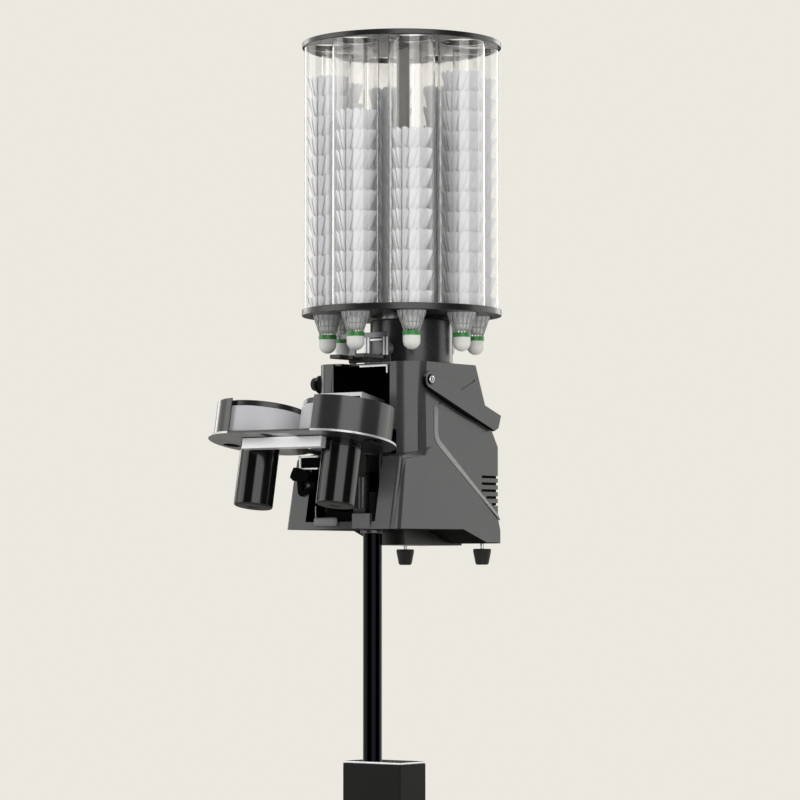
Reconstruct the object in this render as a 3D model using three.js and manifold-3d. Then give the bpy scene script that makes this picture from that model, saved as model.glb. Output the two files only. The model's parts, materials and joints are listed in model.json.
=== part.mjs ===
// Badminton shuttlecock machine on a lifting pole.
// Millimetres, +Z up. The origin is on the floor under the pole's axis. The machine launches towards -Y.
import * as THREE from 'three';
import { mergeVertices } from 'three/addons/utils/BufferGeometryUtils.js';
import Module from 'manifold-3d';

const wasm = await Module();
wasm.setup();

// Clearances that every piece shares
const seatGap = 0.3;
const overrun = 12;
const halfPlay = seatGap / 2;

// Stand
const baseWidth = 460;
const baseDepth = 420;
const baseCornerRadius = 36;
const baseThickness = 10;
const baseCentreY = 20;
const columnWidth = 107;
const columnDepth = 62;
const columnOffsetX = 12;
const columnOffsetY = 13;
const columnWall = 3;
const columnTopZ = 440;
const columnCapThickness = 3;
const columnBushLength = 24;

// Lift pole and the gas strut inside it
const liftTravel = 300;
const poleRadius = 14;
const poleWall = 2;
const poleFootClearance = 15;
const poleLength = 454;
const collarRadius = 18;
const collarThickness = 4.7;
const spigotRadius = 8;
const spigotLength = 30;
const strutRadius = 10;
const strutWall = 3;
const strutFloor = 4;
const strutRodRadius = 4;
const pistonLength = 8;
const strutHeadRoom = 7;

// Head: the housing's outline, seen from its side
const headLength = 216;
const headFrontY = -27;
const headHeight = 247;
const headHalfWidth = 97;
const headWall = 3;
const frontChamfer = 24;
const rearChamfer = 10;
const tailDrop = 19;
const headTopShare = 0.71;
const shoulderShares = [0.815, 0.773];
const backShares = [[0.905, 0.599], [0.971, 0.51], [0.971, 0.081]];
const tailFrontShare = 0.773;
const bellyShare = 0.514;

// Head: the lower part, whose sides lean out to its base
const skirtHalfWidth = 105;
const skirtBevel = 8;
const skirtFrontReach = 53;
const skirtLipReach = 32;
const skirtLipHeight = 106;
const skirtShoulderHeight = 135;
const skirtShoulderY = 24;
const skirtShelfHeight = 116;
const skirtTailY = 182;
const skirtTailHeight = 19;

// Head: openings in the housing
const upperOpeningHalfWidth = 53;
const lowerOpeningHalfWidth = 65;
const lowerOpeningSill = 11;
const dropNotchHalfWidth = 40;
const dropNotchBackY = -5;
const motorHoleRadius = 40;
const ventCount = 5;
const ventPitch = 10.2;
const ventHeight = 4;
const ventTopHeight = 80.5;
const ventFrontY = 141.5;
const ventLastSteps = [0, 0, 0, 12, 26];
const ventWrap = 14;
const grooveWidth = 3;
const grooveDepth = 1.2;
const grooveStartShares = [0.281, 0.75];
const grooveEndShares = [0.699, 0.908];

// Base tray, battery and board
const trayHalfWidth = 39;
const trayFrontY = 27;
const trayLength = 143;
const trayDrop = 22;
const trayRise = 8;
const trayWall = 3;
const batteryHeight = 72;
const batteryInset = 3;
const boardThickness = 12;
const boardLength = 96;
const boardHeight = 70;
const boardStartY = 60;
const boardBottom = 60;

// Rear feet
const footOffsetX = 73;
const footY = 175;
const footTopRadius = 13.5;
const footBottomRadius = 10;
const footHeight = 24;
const footStemRadius = 3;
const footStemLength = 8;

// Pan bearing and motor
const bearingHoleRadius = 20.3;
const bearingFlangeRadius = 24;
const bearingFlangeThickness = 6;
const panMotorRadius = 21;
const panMotorLength = 46;
const panSocketDepth = 18;

// Neck and carousel drive
const carouselY = 71;
const neckCentreY = 95;
const neckRadius = 62;
const neckHeight = 69;
const neckWall = 3;
const turntableRadius = 30;
const turntableRise = 4.7;
const turntableDepth = 12;
const driveRadius = 28;
const driveLength = 66;
const driveFlangeRadius = 50;
const driveFlangeThickness = 4;
const driveSocketDepth = 20;

// Carousel
const tubeCount = 8;
const tubeCircleRadius = 112;
const tubeRadius = 35;
const tubeWall = 1.5;
const tubeLength = 394;
const discRadius = 150;
const bottomDiscThickness = 10;
const topDiscThickness = 8;
const postRadius = 12;
const postSpindleRadius = 8;

// Shuttlecocks, and how many wait in each tube, from the front one round towards +X
const corkRadius = 13;
const corkLength = 27.5;
const skirtRadius = 33;
const shuttleLength = 86;
const shuttlePitch = 30;
const featherStep = 3.2;
const featherFacets = 12;
const corkHang = 56.7;
const nestDepth = 50;
const nestRadius = 12;
const featherThickness = 1.5;
const shuttlesPerTube = [10, 9, 12, 12, 12, 12, 12, 12];

// Feeder
const feederY = -4;
const feederThickness = 3;
const feederLeft = -60;
const feederRight = 31.3;
const feederBarHeight = 8;
const feederHeight = 46;
const feederWindowWidth = 21.5;
const feederSillHeight = 3;
const feederPostWidth = 11.3;
const feederPostPitch = 28;
const feederFlangeDepth = 14;
const feederFlangeThickness = 2;
const feedMotorRadius = 11;
const feedMotorLength = 26;
const jawClearanceUnderCork = 6;
const jawThickness = 6;
const jawWidth = 12;
const jawTravel = 7.5;
const jawReach = 20;
const carriageDepth = 8;
const carriageHeight = 10;
const carriageHalfWidth = 36;

// Carrying handle
const handlePivotY = 5;
const handlePivotShare = 0.89069;
const handleGripShare = 0.6526;
const handleGripInset = 16.5;
const handleArmThickness = 4;
const handleSideGap = 3.5;
const handlePivotWidth = 26;
const handleArmWidth = 28;
const handleGripWidth = 20;
const handleGripDepth = 8;
const handleScrewRadius = 4;
const handleScrewHeadRadius = 6;
const handleScrewHeadLength = 4;
const handleKnobRadius = 10;
const handleKnobLength = 11;

// Launcher, in its own frame: the tilt axis is at the origin and it launches along -Y
const tiltY = -20;
const tiltHeight = 116;
const restTilt = 10.5;
const wheelOffsetX = 76.4;
const wheelReach = 146.3;
const tyreRadius = 64;
const tyreWidth = 40;
const tyreBottom = -14.8;
const hubRadius = 56;
const hubRimRadius = 62;
const hubRimRise = 8;
const hubWall = 4;
const hubWebThickness = 8;
const hubWebHeight = 16;
const hubBossRadius = 12;
const hubBossRise = 6;
const motorShaftRadius = 4;
const lobeRadius = 77;
const plateThickness = 3;
const plateTop = -16.5;
const plateWaistHalf = 26;
const plateFrontReach = 191.5;
const webDepth = 12;
const lobeHoleRadius = 13;
const lobeHoleOffset = 55;
const cheekGap = 40;
const cheekThickness = 4;
const cheekHeight = 12;
const cheekFrontReach = 78;
const cheekToe = 8;
const cheekBackReach = 12;
const frontBarHalf = 73.5;
const frontBarHeight = 16;
const frontBarDepth = 12;
const guardRadius = 69.5;
const guardWall = 2;
const guardHeight = 51;
const guardEndAngles = { left: -4, right: 5 };
const wheelMotorRadius = 28.5;
const wheelMotorLength = 93;
const wheelMotorRound = 3;
const tiltShaftRadius = 6;
const tiltShaftHalf = 54;
const tiltMotorRadius = 11;
const tiltMotorX = 8;
const tiltMotorY = -36;
const tiltMotorLength = 77;
const gearboxHalf = 14;
const gearboxFront = 24;
const gearboxBack = 14;
const gearboxRise = 12;
const bracketInner = 49;
const bracketThickness = 4;
const bracketHalfDepth = 16;
const bracketRise = 15;
const bracketFootDepth = 26;
const chuteSlope = 39.5;
const chuteTopY = -10;
const chuteTopZ = 42;
const chuteFloorLength = 87;
const chuteFloorThickness = 2;
const chuteWall = 2;
const chuteHeight = 73;
const chuteFrontReach = 70;
const chuteBackReach = 15;
const chuteStrapHeight = 6;

// Power switch
const switchWidth = 28;
const switchHeight = 15;
const switchDepth = 9;
const switchX = -46;
const switchCentreHeight = 62;
const switchRestTilt = 8;

// Facets of round pieces
const fineFacets = 32;
const roundFacets = 24;
const smallFacets = 16;
const discFacets = 48;
const discHoleFacets = 20;
const arcSteps = 5;
const corkSteps = 3;
const plainExtrusion = { bevelEnabled: false, curveSegments: arcSteps };

// Heights that follow from the sizes above
const poleBottomZ = baseThickness + poleFootClearance + liftTravel;
const poleTopZ = poleBottomZ + poleLength;
const headZ = poleTopZ + collarThickness + seatGap;
const headBackY = headFrontY + headLength;
const deckTop = headHeight;
const bottomDiscZ = deckTop + neckHeight + turntableRise + seatGap;
const tubeBottomZ = bottomDiscZ + bottomDiscThickness + seatGap;
const topDiscZ = tubeBottomZ + tubeLength + seatGap;
const corkTipZ = bottomDiscZ - corkHang;
const featherSlope = (skirtRadius - corkRadius) / (shuttleLength - corkLength);
const feedY = carouselY - tubeCircleRadius;
const handlePivotHeight = headHeight * handlePivotShare;
const switchWallY = headFrontY + headLength * backShares[2][0];
const handleReach = headBackY - handleGripInset - handlePivotY;
const handleDrop = handlePivotHeight - headHeight * handleGripShare;
const handleArmLength = Math.hypot(handleReach, handleDrop);

// Geometry helpers

function degrees(angle) {
  return THREE.MathUtils.degToRad(angle);
}

// Turns every face outwards, whichever way the outline ran
function facingOut(geometry) {
  const bare = geometry.clone();
  bare.deleteAttribute('normal');
  bare.deleteAttribute('uv');
  const merged = mergeVertices(bare);
  const place = merged.attributes.position;
  const corners = [];
  const a = new THREE.Vector3();
  const b = new THREE.Vector3();
  const c = new THREE.Vector3();
  let volume = 0;
  for (let face = 0; face < merged.index.count; face += 3) {
    const [i, j, k] = [0, 1, 2].map((step) => merged.index.getX(face + step));
    if (i !== j && j !== k && k !== i) {
      corners.push(i, j, k);
      a.fromBufferAttribute(place, i);
      b.fromBufferAttribute(place, j);
      c.fromBufferAttribute(place, k);
      volume += a.dot(b.cross(c));
    }
  }
  if (volume < 0) {
    corners.reverse();
  }
  merged.setIndex(corners);
  merged.computeVertexNormals();
  return merged;
}

function solidOf(geometry) {
  const closed = facingOut(geometry);
  const vertProperties = new Float32Array(closed.attributes.position.array);
  const triVerts = new Uint32Array(closed.index.array);
  return new wasm.Manifold(new wasm.Mesh({ numProp: 3, vertProperties, triVerts }));
}

function geometryOf(solid) {
  const mesh = solid.getMesh();
  const geometry = new THREE.BufferGeometry();
  geometry.setAttribute('position', new THREE.BufferAttribute(mesh.vertProperties, mesh.numProp));
  geometry.setIndex(new THREE.BufferAttribute(mesh.triVerts, 1));
  geometry.computeVertexNormals();
  return geometry;
}

function joined(geometries) {
  return geometryOf(geometries.map(solidOf).reduce((whole, piece) => whole.add(piece)));
}

function cut(geometry, tools) {
  return geometryOf(tools.map(solidOf).reduce((left, tool) => left.subtract(tool), solidOf(geometry)));
}

function shared(first, second) {
  return geometryOf(solidOf(first).intersect(solidOf(second)));
}

function block(x0, x1, y0, y1, z0, z1) {
  const geometry = new THREE.BoxGeometry(x1 - x0, y1 - y0, z1 - z0);
  return geometry.translate((x0 + x1) / 2, (y0 + y1) / 2, (z0 + z1) / 2);
}

// A round bar along Z
function bar(radius, z0, z1, x = 0, y = 0, facets = roundFacets) {
  const geometry = new THREE.CylinderGeometry(radius, radius, z1 - z0, facets);
  return geometry.rotateX(Math.PI / 2).translate(x, y, (z0 + z1) / 2);
}

// A round bar along X
function crossBar(radius, x0, x1, y = 0, z = 0, facets = smallFacets) {
  const geometry = new THREE.CylinderGeometry(radius, radius, x1 - x0, facets);
  return geometry.rotateZ(Math.PI / 2).translate((x0 + x1) / 2, y, z);
}

// A round bar along Y
function lengthBar(radius, y0, y1, x = 0, z = 0, facets = smallFacets) {
  const geometry = new THREE.CylinderGeometry(radius, radius, y1 - y0, facets);
  return geometry.translate(x, (y0 + y1) / 2, z);
}

// A profile of [radius, height] pairs turned about Z
function turned(profile, facets = roundFacets) {
  const points = profile.map(([radius, height]) => new THREE.Vector2(radius, height));
  return facingOut(new THREE.LatheGeometry(points, facets).rotateX(Math.PI / 2));
}

function closedProfile(profile) {
  return [...profile, profile[0]];
}

function ring(outer, inner, z0, z1, facets = roundFacets) {
  return turned(closedProfile([[inner, z0], [outer, z0], [outer, z1], [inner, z1]]), facets);
}

function outlineOf(points) {
  return new THREE.Shape(points.map(([u, v]) => new THREE.Vector2(u, v)));
}

// An outline in X and Y, raised along Z
function raised(shape, z0, z1, options = {}) {
  const geometry = new THREE.ExtrudeGeometry(shape, { ...plainExtrusion, depth: z1 - z0, ...options });
  return geometry.translate(0, 0, z0);
}

// An outline in Y and Z, widened along X
function widened(shape, x0, x1, options = {}) {
  const geometry = new THREE.ExtrudeGeometry(shape, { ...plainExtrusion, depth: x1 - x0, ...options });
  const across = new THREE.Matrix4().makeBasis(
    new THREE.Vector3(0, 1, 0), new THREE.Vector3(0, 0, 1), new THREE.Vector3(1, 0, 0));
  return geometry.applyMatrix4(across).translate(x0, 0, 0);
}

// An outline in X and Z, thickened along Y
function thickened(shape, y0, y1) {
  const geometry = new THREE.ExtrudeGeometry(shape, { ...plainExtrusion, depth: y1 - y0 });
  return geometry.rotateX(Math.PI / 2).translate(0, y1, 0);
}

function roundedRectangle(width, depth, radius) {
  const shape = new THREE.Shape();
  const x = width / 2;
  const y = depth / 2;
  shape.moveTo(radius - x, -y);
  shape.lineTo(x - radius, -y);
  shape.absarc(x - radius, radius - y, radius, -Math.PI / 2, 0);
  shape.lineTo(x, y - radius);
  shape.absarc(x - radius, y - radius, radius, 0, Math.PI / 2);
  shape.lineTo(radius - x, y);
  shape.absarc(radius - x, y - radius, radius, Math.PI / 2, Math.PI);
  shape.lineTo(-x, radius - y);
  shape.absarc(radius - x, radius - y, radius, Math.PI, Math.PI * 3 / 2);
  return shape;
}

// Moves each side of an outline inwards by one distance
function inset(points, distance) {
  const area = points.reduce((sum, [u, v], i) => {
    const [nextU, nextV] = points[(i + 1) % points.length];
    return sum + u * nextV - nextU * v;
  }, 0);
  const side = Math.sign(area) * distance;
  const lines = points.map(([u, v], i) => {
    const [nextU, nextV] = points[(i + 1) % points.length];
    const length = Math.hypot(nextU - u, nextV - v);
    const normal = [-(nextV - v) / length, (nextU - u) / length];
    return { normal, offset: normal[0] * u + normal[1] * v + side };
  });
  return points.map((point, i) => {
    const before = lines[(i + points.length - 1) % points.length];
    const after = lines[i];
    const turn = before.normal[0] * after.normal[1] - before.normal[1] * after.normal[0];
    const u = (before.offset * after.normal[1] - after.offset * before.normal[1]) / turn;
    const v = (before.normal[0] * after.offset - after.normal[0] * before.offset) / turn;
    return [u, v];
  });
}

function finish(color, roughness, metalness) {
  return new THREE.MeshStandardMaterial({ color, roughness, metalness });
}

const finishes = {
  blackSteel: () => finish(0x17181a, 0.45, 0.4),
  brightSteel: () => finish(0xc9ccd0, 0.3, 0.9),
  polishedPole: () => finish(0x24262a, 0.15, 0.8),
  greyShell: () => finish(0x626264, 0.45, 0.1),
  blackPlastic: () => finish(0x131315, 0.5, 0),
  neckPlastic: () => finish(0x3a3a3d, 0.3, 0),
  rubber: () => finish(0x1a1a1b, 0.85, 0),
  aluminium: () => finish(0xb9babd, 0.35, 0.8),
  guardPlastic: () => finish(0x5e5e61, 0.35, 0.1),
  tyreFoam: () => finish(0xc4c4c6, 0.6, 0),
  clearTube: () => {
    const glass = finish(0xdfe8ee, 0.08, 0);
    glass.transparent = true;
    glass.opacity = 0.35;
    return glass;
  },
  feather: () => finish(0xf2f2f2, 0.8, 0),
  board: () => finish(0x15181a, 0.6, 0),
};

function part(name, geometry, material) {
  const mesh = new THREE.Mesh(facingOut(geometry), material());
  mesh.name = name;
  return mesh;
}

function group(place, parts) {
  const holder = new THREE.Group();
  holder.position.set(...place);
  holder.add(...parts);
  return holder;
}

// Stand

function basePlate() {
  const plate = raised(roundedRectangle(baseWidth, baseDepth, baseCornerRadius), 0, baseThickness);
  return plate.translate(0, baseCentreY, 0);
}

function columnBlock(inwards, z0, z1) {
  const halfWidth = columnWidth / 2 - inwards;
  const halfDepth = columnDepth / 2 - inwards;
  return block(
    columnOffsetX - halfWidth, columnOffsetX + halfWidth,
    columnOffsetY - halfDepth, columnOffsetY + halfDepth, z0, z1);
}

function liftColumn() {
  const outer = columnBlock(0, baseThickness + seatGap, columnTopZ - seatGap);
  return cut(outer, [columnBlock(columnWall, -overrun, columnTopZ + overrun)]);
}

function columnCollar() {
  const cap = columnBlock(0, columnTopZ, columnTopZ + columnCapThickness);
  const bush = columnBlock(columnWall + seatGap, columnTopZ - columnBushLength, columnTopZ + halfPlay);
  const bore = bar(poleRadius + seatGap, 0, columnTopZ + overrun);
  return cut(joined([cap, bush]), [bore]);
}

function strutTube() {
  const bottom = baseThickness + seatGap;
  const top = poleBottomZ + strutHeadRoom + pistonLength + strutHeadRoom;
  const inner = strutRadius - strutWall;
  const floor = bottom + strutFloor;
  const profile = [
    [0, bottom], [strutRadius, bottom], [strutRadius, top], [inner, top], [inner, floor], [0, floor],
  ];
  return turned(profile, smallFacets);
}

function strutRod() {
  const bottom = poleBottomZ + strutHeadRoom;
  const top = poleTopZ - seatGap;
  const pistonRadius = strutRadius - strutWall - seatGap;
  const pistonTop = bottom + pistonLength;
  const profile = [
    [0, bottom], [pistonRadius, bottom], [pistonRadius, pistonTop], [strutRodRadius, pistonTop],
    [strutRodRadius, top], [0, top],
  ];
  return turned(profile, smallFacets);
}

function liftPole() {
  const inner = poleRadius - poleWall;
  const collarTop = poleTopZ + collarThickness;
  const spigotTop = collarTop + spigotLength;
  return turned([
    [inner, poleBottomZ], [poleRadius, poleBottomZ], [poleRadius, poleTopZ], [collarRadius, poleTopZ],
    [collarRadius, collarTop], [spigotRadius, collarTop], [spigotRadius, spigotTop], [0, spigotTop],
    [0, poleTopZ], [inner, poleTopZ], [inner, poleBottomZ],
  ]);
}

// Head

function alongY(share) {
  return headFrontY + headLength * share;
}

function headSide() {
  const upZ = (share) => headHeight * share;
  return [
    [headFrontY, 0],
    [alongY(bellyShare), 0],
    [alongY(tailFrontShare), -tailDrop],
    [headBackY, -tailDrop],
    [headBackY, 0],
    ...backShares.map(([y, z]) => [alongY(y), upZ(z)]).reverse(),
    [alongY(shoulderShares[0]), upZ(shoulderShares[1])],
    [alongY(headTopShare), headHeight],
    [headFrontY, headHeight],
  ];
}

function headPlan() {
  const front = headFrontY + frontChamfer;
  const back = headBackY + overrun;
  const behind = back - rearChamfer;
  const frontCorner = headHalfWidth - frontChamfer;
  const backCorner = headHalfWidth - rearChamfer;
  return [
    [-frontCorner, headFrontY], [frontCorner, headFrontY], [headHalfWidth, front], [headHalfWidth, behind],
    [backCorner, back], [-backCorner, back], [-headHalfWidth, behind], [-headHalfWidth, front],
  ];
}

function skirtSide() {
  return [
    [headFrontY - skirtFrontReach, 0],
    [alongY(bellyShare), 0],
    [alongY(tailFrontShare), -tailDrop],
    [skirtTailY, -tailDrop],
    [skirtTailY, skirtTailHeight],
    [skirtShoulderY, skirtShoulderHeight],
    [headFrontY + frontChamfer, skirtShelfHeight],
    [headFrontY - skirtLipReach, skirtLipHeight],
  ];
}

// Leans the skirt's sides, which are widest at the base and flush with the upper housing at the shoulder
function leaning(geometry, wall) {
  const corners = geometry.attributes.position;
  const flare = skirtHalfWidth - headHalfWidth;
  for (let i = 0; i < corners.count; i += 1) {
    const x = corners.getX(i);
    if (Math.abs(x) > headHalfWidth - wall + seatGap) {
      const reach = skirtHalfWidth - wall - flare * corners.getZ(i) / skirtShoulderHeight;
      corners.setX(i, Math.sign(x) * reach);
    }
  }
  return geometry;
}

// The housing's outer body, or its hollow when wall is the shell's thickness
function headBody(wall) {
  const side = widened(outlineOf(inset(headSide(), wall)), -headHalfWidth, headHalfWidth);
  const plan = raised(outlineOf(inset(headPlan(), wall)), -overrun - tailDrop, headHeight + overrun);
  const halfSkirt = skirtHalfWidth - skirtBevel - wall;
  const skirt = widened(outlineOf(inset(skirtSide(), wall)), -halfSkirt, halfSkirt, {
    bevelEnabled: true,
    bevelThickness: skirtBevel,
    bevelSize: skirtBevel,
    bevelOffset: -skirtBevel,
    bevelSegments: 1,
  });
  return joined([shared(side, plan), leaning(skirt, wall)]);
}

function vents(sign) {
  return Array.from({ length: ventCount }, (_, i) => {
    const centre = ventTopHeight - i * ventPitch;
    const reaches = [headHalfWidth - ventWrap, skirtHalfWidth + overrun];
    const sides = reaches.map((reach) => sign * reach).sort((a, b) => a - b);
    const front = ventFrontY + ventLastSteps[i];
    return block(...sides, front, headBackY + overrun, centre - ventHeight / 2, centre + ventHeight / 2);
  });
}

// The short decorative groove near the top of each side
function sideGroove(sign) {
  const [[startY, startZ], [endY, endZ]] = [grooveStartShares, grooveEndShares].map(
    ([along, up]) => [alongY(along), headHeight * up]);
  const length = Math.hypot(endY - startY, endZ - startZ);
  const strip = new THREE.BoxGeometry(grooveDepth * 2, length, grooveWidth);
  strip.rotateX(Math.atan2(endZ - startZ, endY - startY));
  return strip.translate(sign * headHalfWidth, (startY + endY) / 2, (startZ + endZ) / 2);
}

function headShell(sign) {
  const upperFront = block(
    -upperOpeningHalfWidth, upperOpeningHalfWidth, headFrontY - overrun, headFrontY + headWall + overrun,
    skirtLipHeight, headHeight - headWall);
  const upperLip = block(
    -upperOpeningHalfWidth, upperOpeningHalfWidth, headFrontY - overrun, headFrontY + headWall,
    headHeight - headWall - overrun, headHeight + overrun);
  const lowerFront = block(
    -lowerOpeningHalfWidth, lowerOpeningHalfWidth,
    headFrontY - skirtFrontReach - overrun, headFrontY + headWall,
    lowerOpeningSill, skirtShoulderHeight + overrun);
  const notch = block(
    -dropNotchHalfWidth, dropNotchHalfWidth, headFrontY - overrun, dropNotchBackY,
    headHeight - headWall - overrun, headHeight + overrun);
  const trayRoom = trayHalfWidth + seatGap;
  const tray = block(
    -trayRoom, trayRoom, trayFrontY - seatGap, trayFrontY + trayLength + seatGap,
    -tailDrop - overrun, trayRise);
  const bearing = bar(bearingHoleRadius, -overrun, overrun);
  const motor = bar(motorHoleRadius, headHeight - headWall - overrun, headHeight + overrun, 0, carouselY);
  const pivot = crossBar(
    handleScrewRadius + seatGap, -skirtHalfWidth, skirtHalfWidth, handlePivotY, handlePivotHeight);
  const footHoles = [-1, 1].map((side) => bar(
    footStemRadius + seatGap, -tailDrop - overrun, overrun - tailDrop,
    side * footOffsetX, footY, smallFacets));
  const halfRocker = switchWidth / 2 + seatGap;
  const rockerRise = switchHeight / 2 + seatGap;
  const rocker = block(
    switchX - halfRocker, switchX + halfRocker, switchWallY - overrun, headBackY + overrun,
    switchCentreHeight - rockerRise, switchCentreHeight + rockerRise);
  const hollow = headBody(headWall);
  const tools = [
    hollow, upperFront, upperLip, lowerFront, notch, tray, bearing, motor, pivot, ...footHoles, rocker,
    ...vents(sign), sideGroove(sign),
  ];
  const far = skirtHalfWidth + overrun;
  const sides = [sign * halfPlay, sign * far].sort((a, b) => a - b);
  const half = block(...sides, headFrontY - far, headBackY + far, -far, headHeight + far);
  return shared(cut(headBody(0), tools), half);
}

function baseTray() {
  const outer = block(
    -trayHalfWidth, trayHalfWidth, trayFrontY, trayFrontY + trayLength, -trayDrop, trayRise);
  const half = trayHalfWidth - trayWall;
  const inner = block(
    -half, half, trayFrontY + trayWall, trayFrontY + trayLength - trayWall,
    trayWall - trayDrop, trayRise + overrun);
  return cut(outer, [inner]);
}

function batteryPack() {
  const inwards = trayWall + batteryInset;
  const half = trayHalfWidth - inwards;
  const bottom = trayWall - trayDrop + seatGap;
  const front = trayFrontY + inwards;
  return block(-half, half, front, front + trayLength - inwards * 2, bottom, bottom + batteryHeight);
}

function controlBoard() {
  const outer = headWall + seatGap - headHalfWidth;
  return block(
    outer, outer + boardThickness, boardStartY, boardStartY + boardLength,
    boardBottom, boardBottom + boardHeight);
}

function rearFoot(sign) {
  const stemTop = headWall - tailDrop;
  const rubberTop = -tailDrop - footStemLength;
  const rubberBottom = rubberTop - footHeight;
  const profile = [
    [0, rubberBottom], [footBottomRadius, rubberBottom], [footTopRadius, rubberTop],
    [footStemRadius, rubberTop], [footStemRadius, stemTop], [0, stemTop],
  ];
  return turned(profile, smallFacets).translate(sign * footOffsetX, footY, 0);
}

function panBearing() {
  const inner = spigotRadius + seatGap;
  const outer = bearingHoleRadius - seatGap;
  const flangeBottom = headWall + seatGap;
  const flangeTop = flangeBottom + bearingFlangeThickness;
  return turned(closedProfile([
    [inner, 0], [outer, 0], [outer, flangeBottom], [bearingFlangeRadius, flangeBottom],
    [bearingFlangeRadius, flangeTop], [inner, flangeTop],
  ]));
}

function panMotor() {
  const bottom = headWall + bearingFlangeThickness + seatGap * 2;
  const socketRadius = spigotRadius + seatGap;
  const socketTop = bottom + panSocketDepth + spigotLength / 2;
  const top = bottom + panMotorLength;
  return turned(closedProfile([
    [socketRadius, bottom], [panMotorRadius, bottom], [panMotorRadius, top], [0, top], [0, socketTop],
    [socketRadius, socketTop],
  ]));
}

function neckShell() {
  const bottom = deckTop + seatGap;
  const top = deckTop + neckHeight;
  const outer = bar(neckRadius, bottom, top, 0, neckCentreY, fineFacets);
  const inner = bar(neckRadius - neckWall, bottom - overrun, top - neckWall, 0, neckCentreY, fineFacets);
  const mouth = bar(turntableRadius + seatGap, top - overrun, top + overrun, 0, carouselY);
  return cut(outer, [inner, mouth]);
}

function turntableBearing() {
  const top = deckTop + neckHeight + turntableRise;
  const bearing = ring(turntableRadius, postSpindleRadius + seatGap, top - turntableDepth, top);
  return bearing.translate(0, carouselY, 0);
}

function carouselMotor() {
  const flangeBottom = deckTop + seatGap;
  const flangeTop = flangeBottom + driveFlangeThickness;
  const bottom = flangeBottom - driveLength;
  const top = deckTop + neckHeight + turntableRise - turntableDepth - seatGap;
  const socketRadius = postSpindleRadius + seatGap;
  const socketBottom = top - driveSocketDepth - seatGap;
  const profile = [
    [0, bottom], [driveRadius, bottom], [driveRadius, flangeBottom], [driveFlangeRadius, flangeBottom],
    [driveFlangeRadius, flangeTop], [driveRadius, flangeTop], [driveRadius, top], [socketRadius, top],
    [socketRadius, socketBottom], [0, socketBottom],
  ];
  const drive = turned(profile).translate(0, carouselY, 0);
  const roomRadius = neckRadius - neckWall - seatGap;
  const room = bar(roomRadius, bottom - overrun, top + overrun, 0, neckCentreY, fineFacets);
  return shared(drive, room);
}

// Carousel

function tubePlace(index) {
  const angle = Math.PI * 2 * index / tubeCount;
  return [tubeCircleRadius * Math.sin(angle), carouselY - tubeCircleRadius * Math.cos(angle)];
}

// How wide the lowest shuttle is where it passes a height
function shuttleRadiusAt(height) {
  return corkRadius + (height - corkTipZ - corkLength) * featherSlope;
}

function carouselDisc(z0, thickness, holeRadius, centreRadius) {
  const top = z0 + thickness;
  const disc = bar(discRadius, z0, top, 0, carouselY, discFacets);
  const wide = holeRadius / Math.cos(Math.PI / discHoleFacets);
  const holes = shuttlesPerTube.map((_, index) => bar(
    wide, z0 - overrun, top + overrun, ...tubePlace(index), discHoleFacets));
  return cut(disc, [...holes, bar(centreRadius, z0 - overrun, top + overrun, 0, carouselY)]);
}

function bottomDisc() {
  const holeRadius = shuttleRadiusAt(bottomDiscZ + bottomDiscThickness) + seatGap;
  return carouselDisc(bottomDiscZ, bottomDiscThickness, holeRadius, postSpindleRadius + seatGap);
}

function topDisc() {
  return carouselDisc(topDiscZ, topDiscThickness, tubeRadius - tubeWall, postSpindleRadius + seatGap);
}

function carouselPost() {
  const shoulder = tubeBottomZ;
  const top = topDiscZ + topDiscThickness;
  const spindleBottom = deckTop + neckHeight + turntableRise - turntableDepth - driveSocketDepth;
  const profile = [
    [0, spindleBottom], [postSpindleRadius, spindleBottom], [postSpindleRadius, shoulder],
    [postRadius, shoulder], [postRadius, topDiscZ - seatGap], [postSpindleRadius, topDiscZ - seatGap],
    [postSpindleRadius, top], [0, top],
  ];
  return turned(profile, smallFacets).translate(0, carouselY, 0);
}

function clearTube(index) {
  const tube = ring(tubeRadius, tubeRadius - tubeWall, tubeBottomZ, tubeBottomZ + tubeLength);
  return tube.translate(...tubePlace(index), 0);
}

// Nested shuttlecocks as one closed form: cork, skirt, then one step for each shuttle above
function shuttleStack(index) {
  const cork = Array.from({ length: corkSteps + 1 }, (_, i) => {
    const angle = Math.PI / 2 * i / corkSteps;
    return [corkRadius * Math.sin(angle), corkTipZ + corkRadius * (1 - Math.cos(angle))];
  });
  const firstTop = corkTipZ + shuttleLength;
  const steps = Array.from({ length: shuttlesPerTube[index] }, (_, i) => firstTop + i * shuttlePitch);
  const last = steps[steps.length - 1];
  const lower = steps.slice(0, -1).flatMap((z) => [[skirtRadius, z], [skirtRadius - featherStep, z]]);
  const feathers = [...lower, [skirtRadius, last]];
  const nestFloor = last - nestDepth;
  const nest = [[skirtRadius - featherThickness, last], [nestRadius, nestFloor], [0, nestFloor]];
  const profile = [...cork, [corkRadius, corkTipZ + corkLength], ...feathers, ...nest];
  return turned(profile, featherFacets).translate(...tubePlace(index), 0);
}

// Feeder

const jawTop = corkTipZ - jawClearanceUnderCork;
const jawBottom = jawTop - jawThickness;
const carriageBack = feederY - seatGap;
const carriageFront = carriageBack - carriageDepth;
const jawOpen = corkRadius + seatGap + jawTravel;

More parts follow.
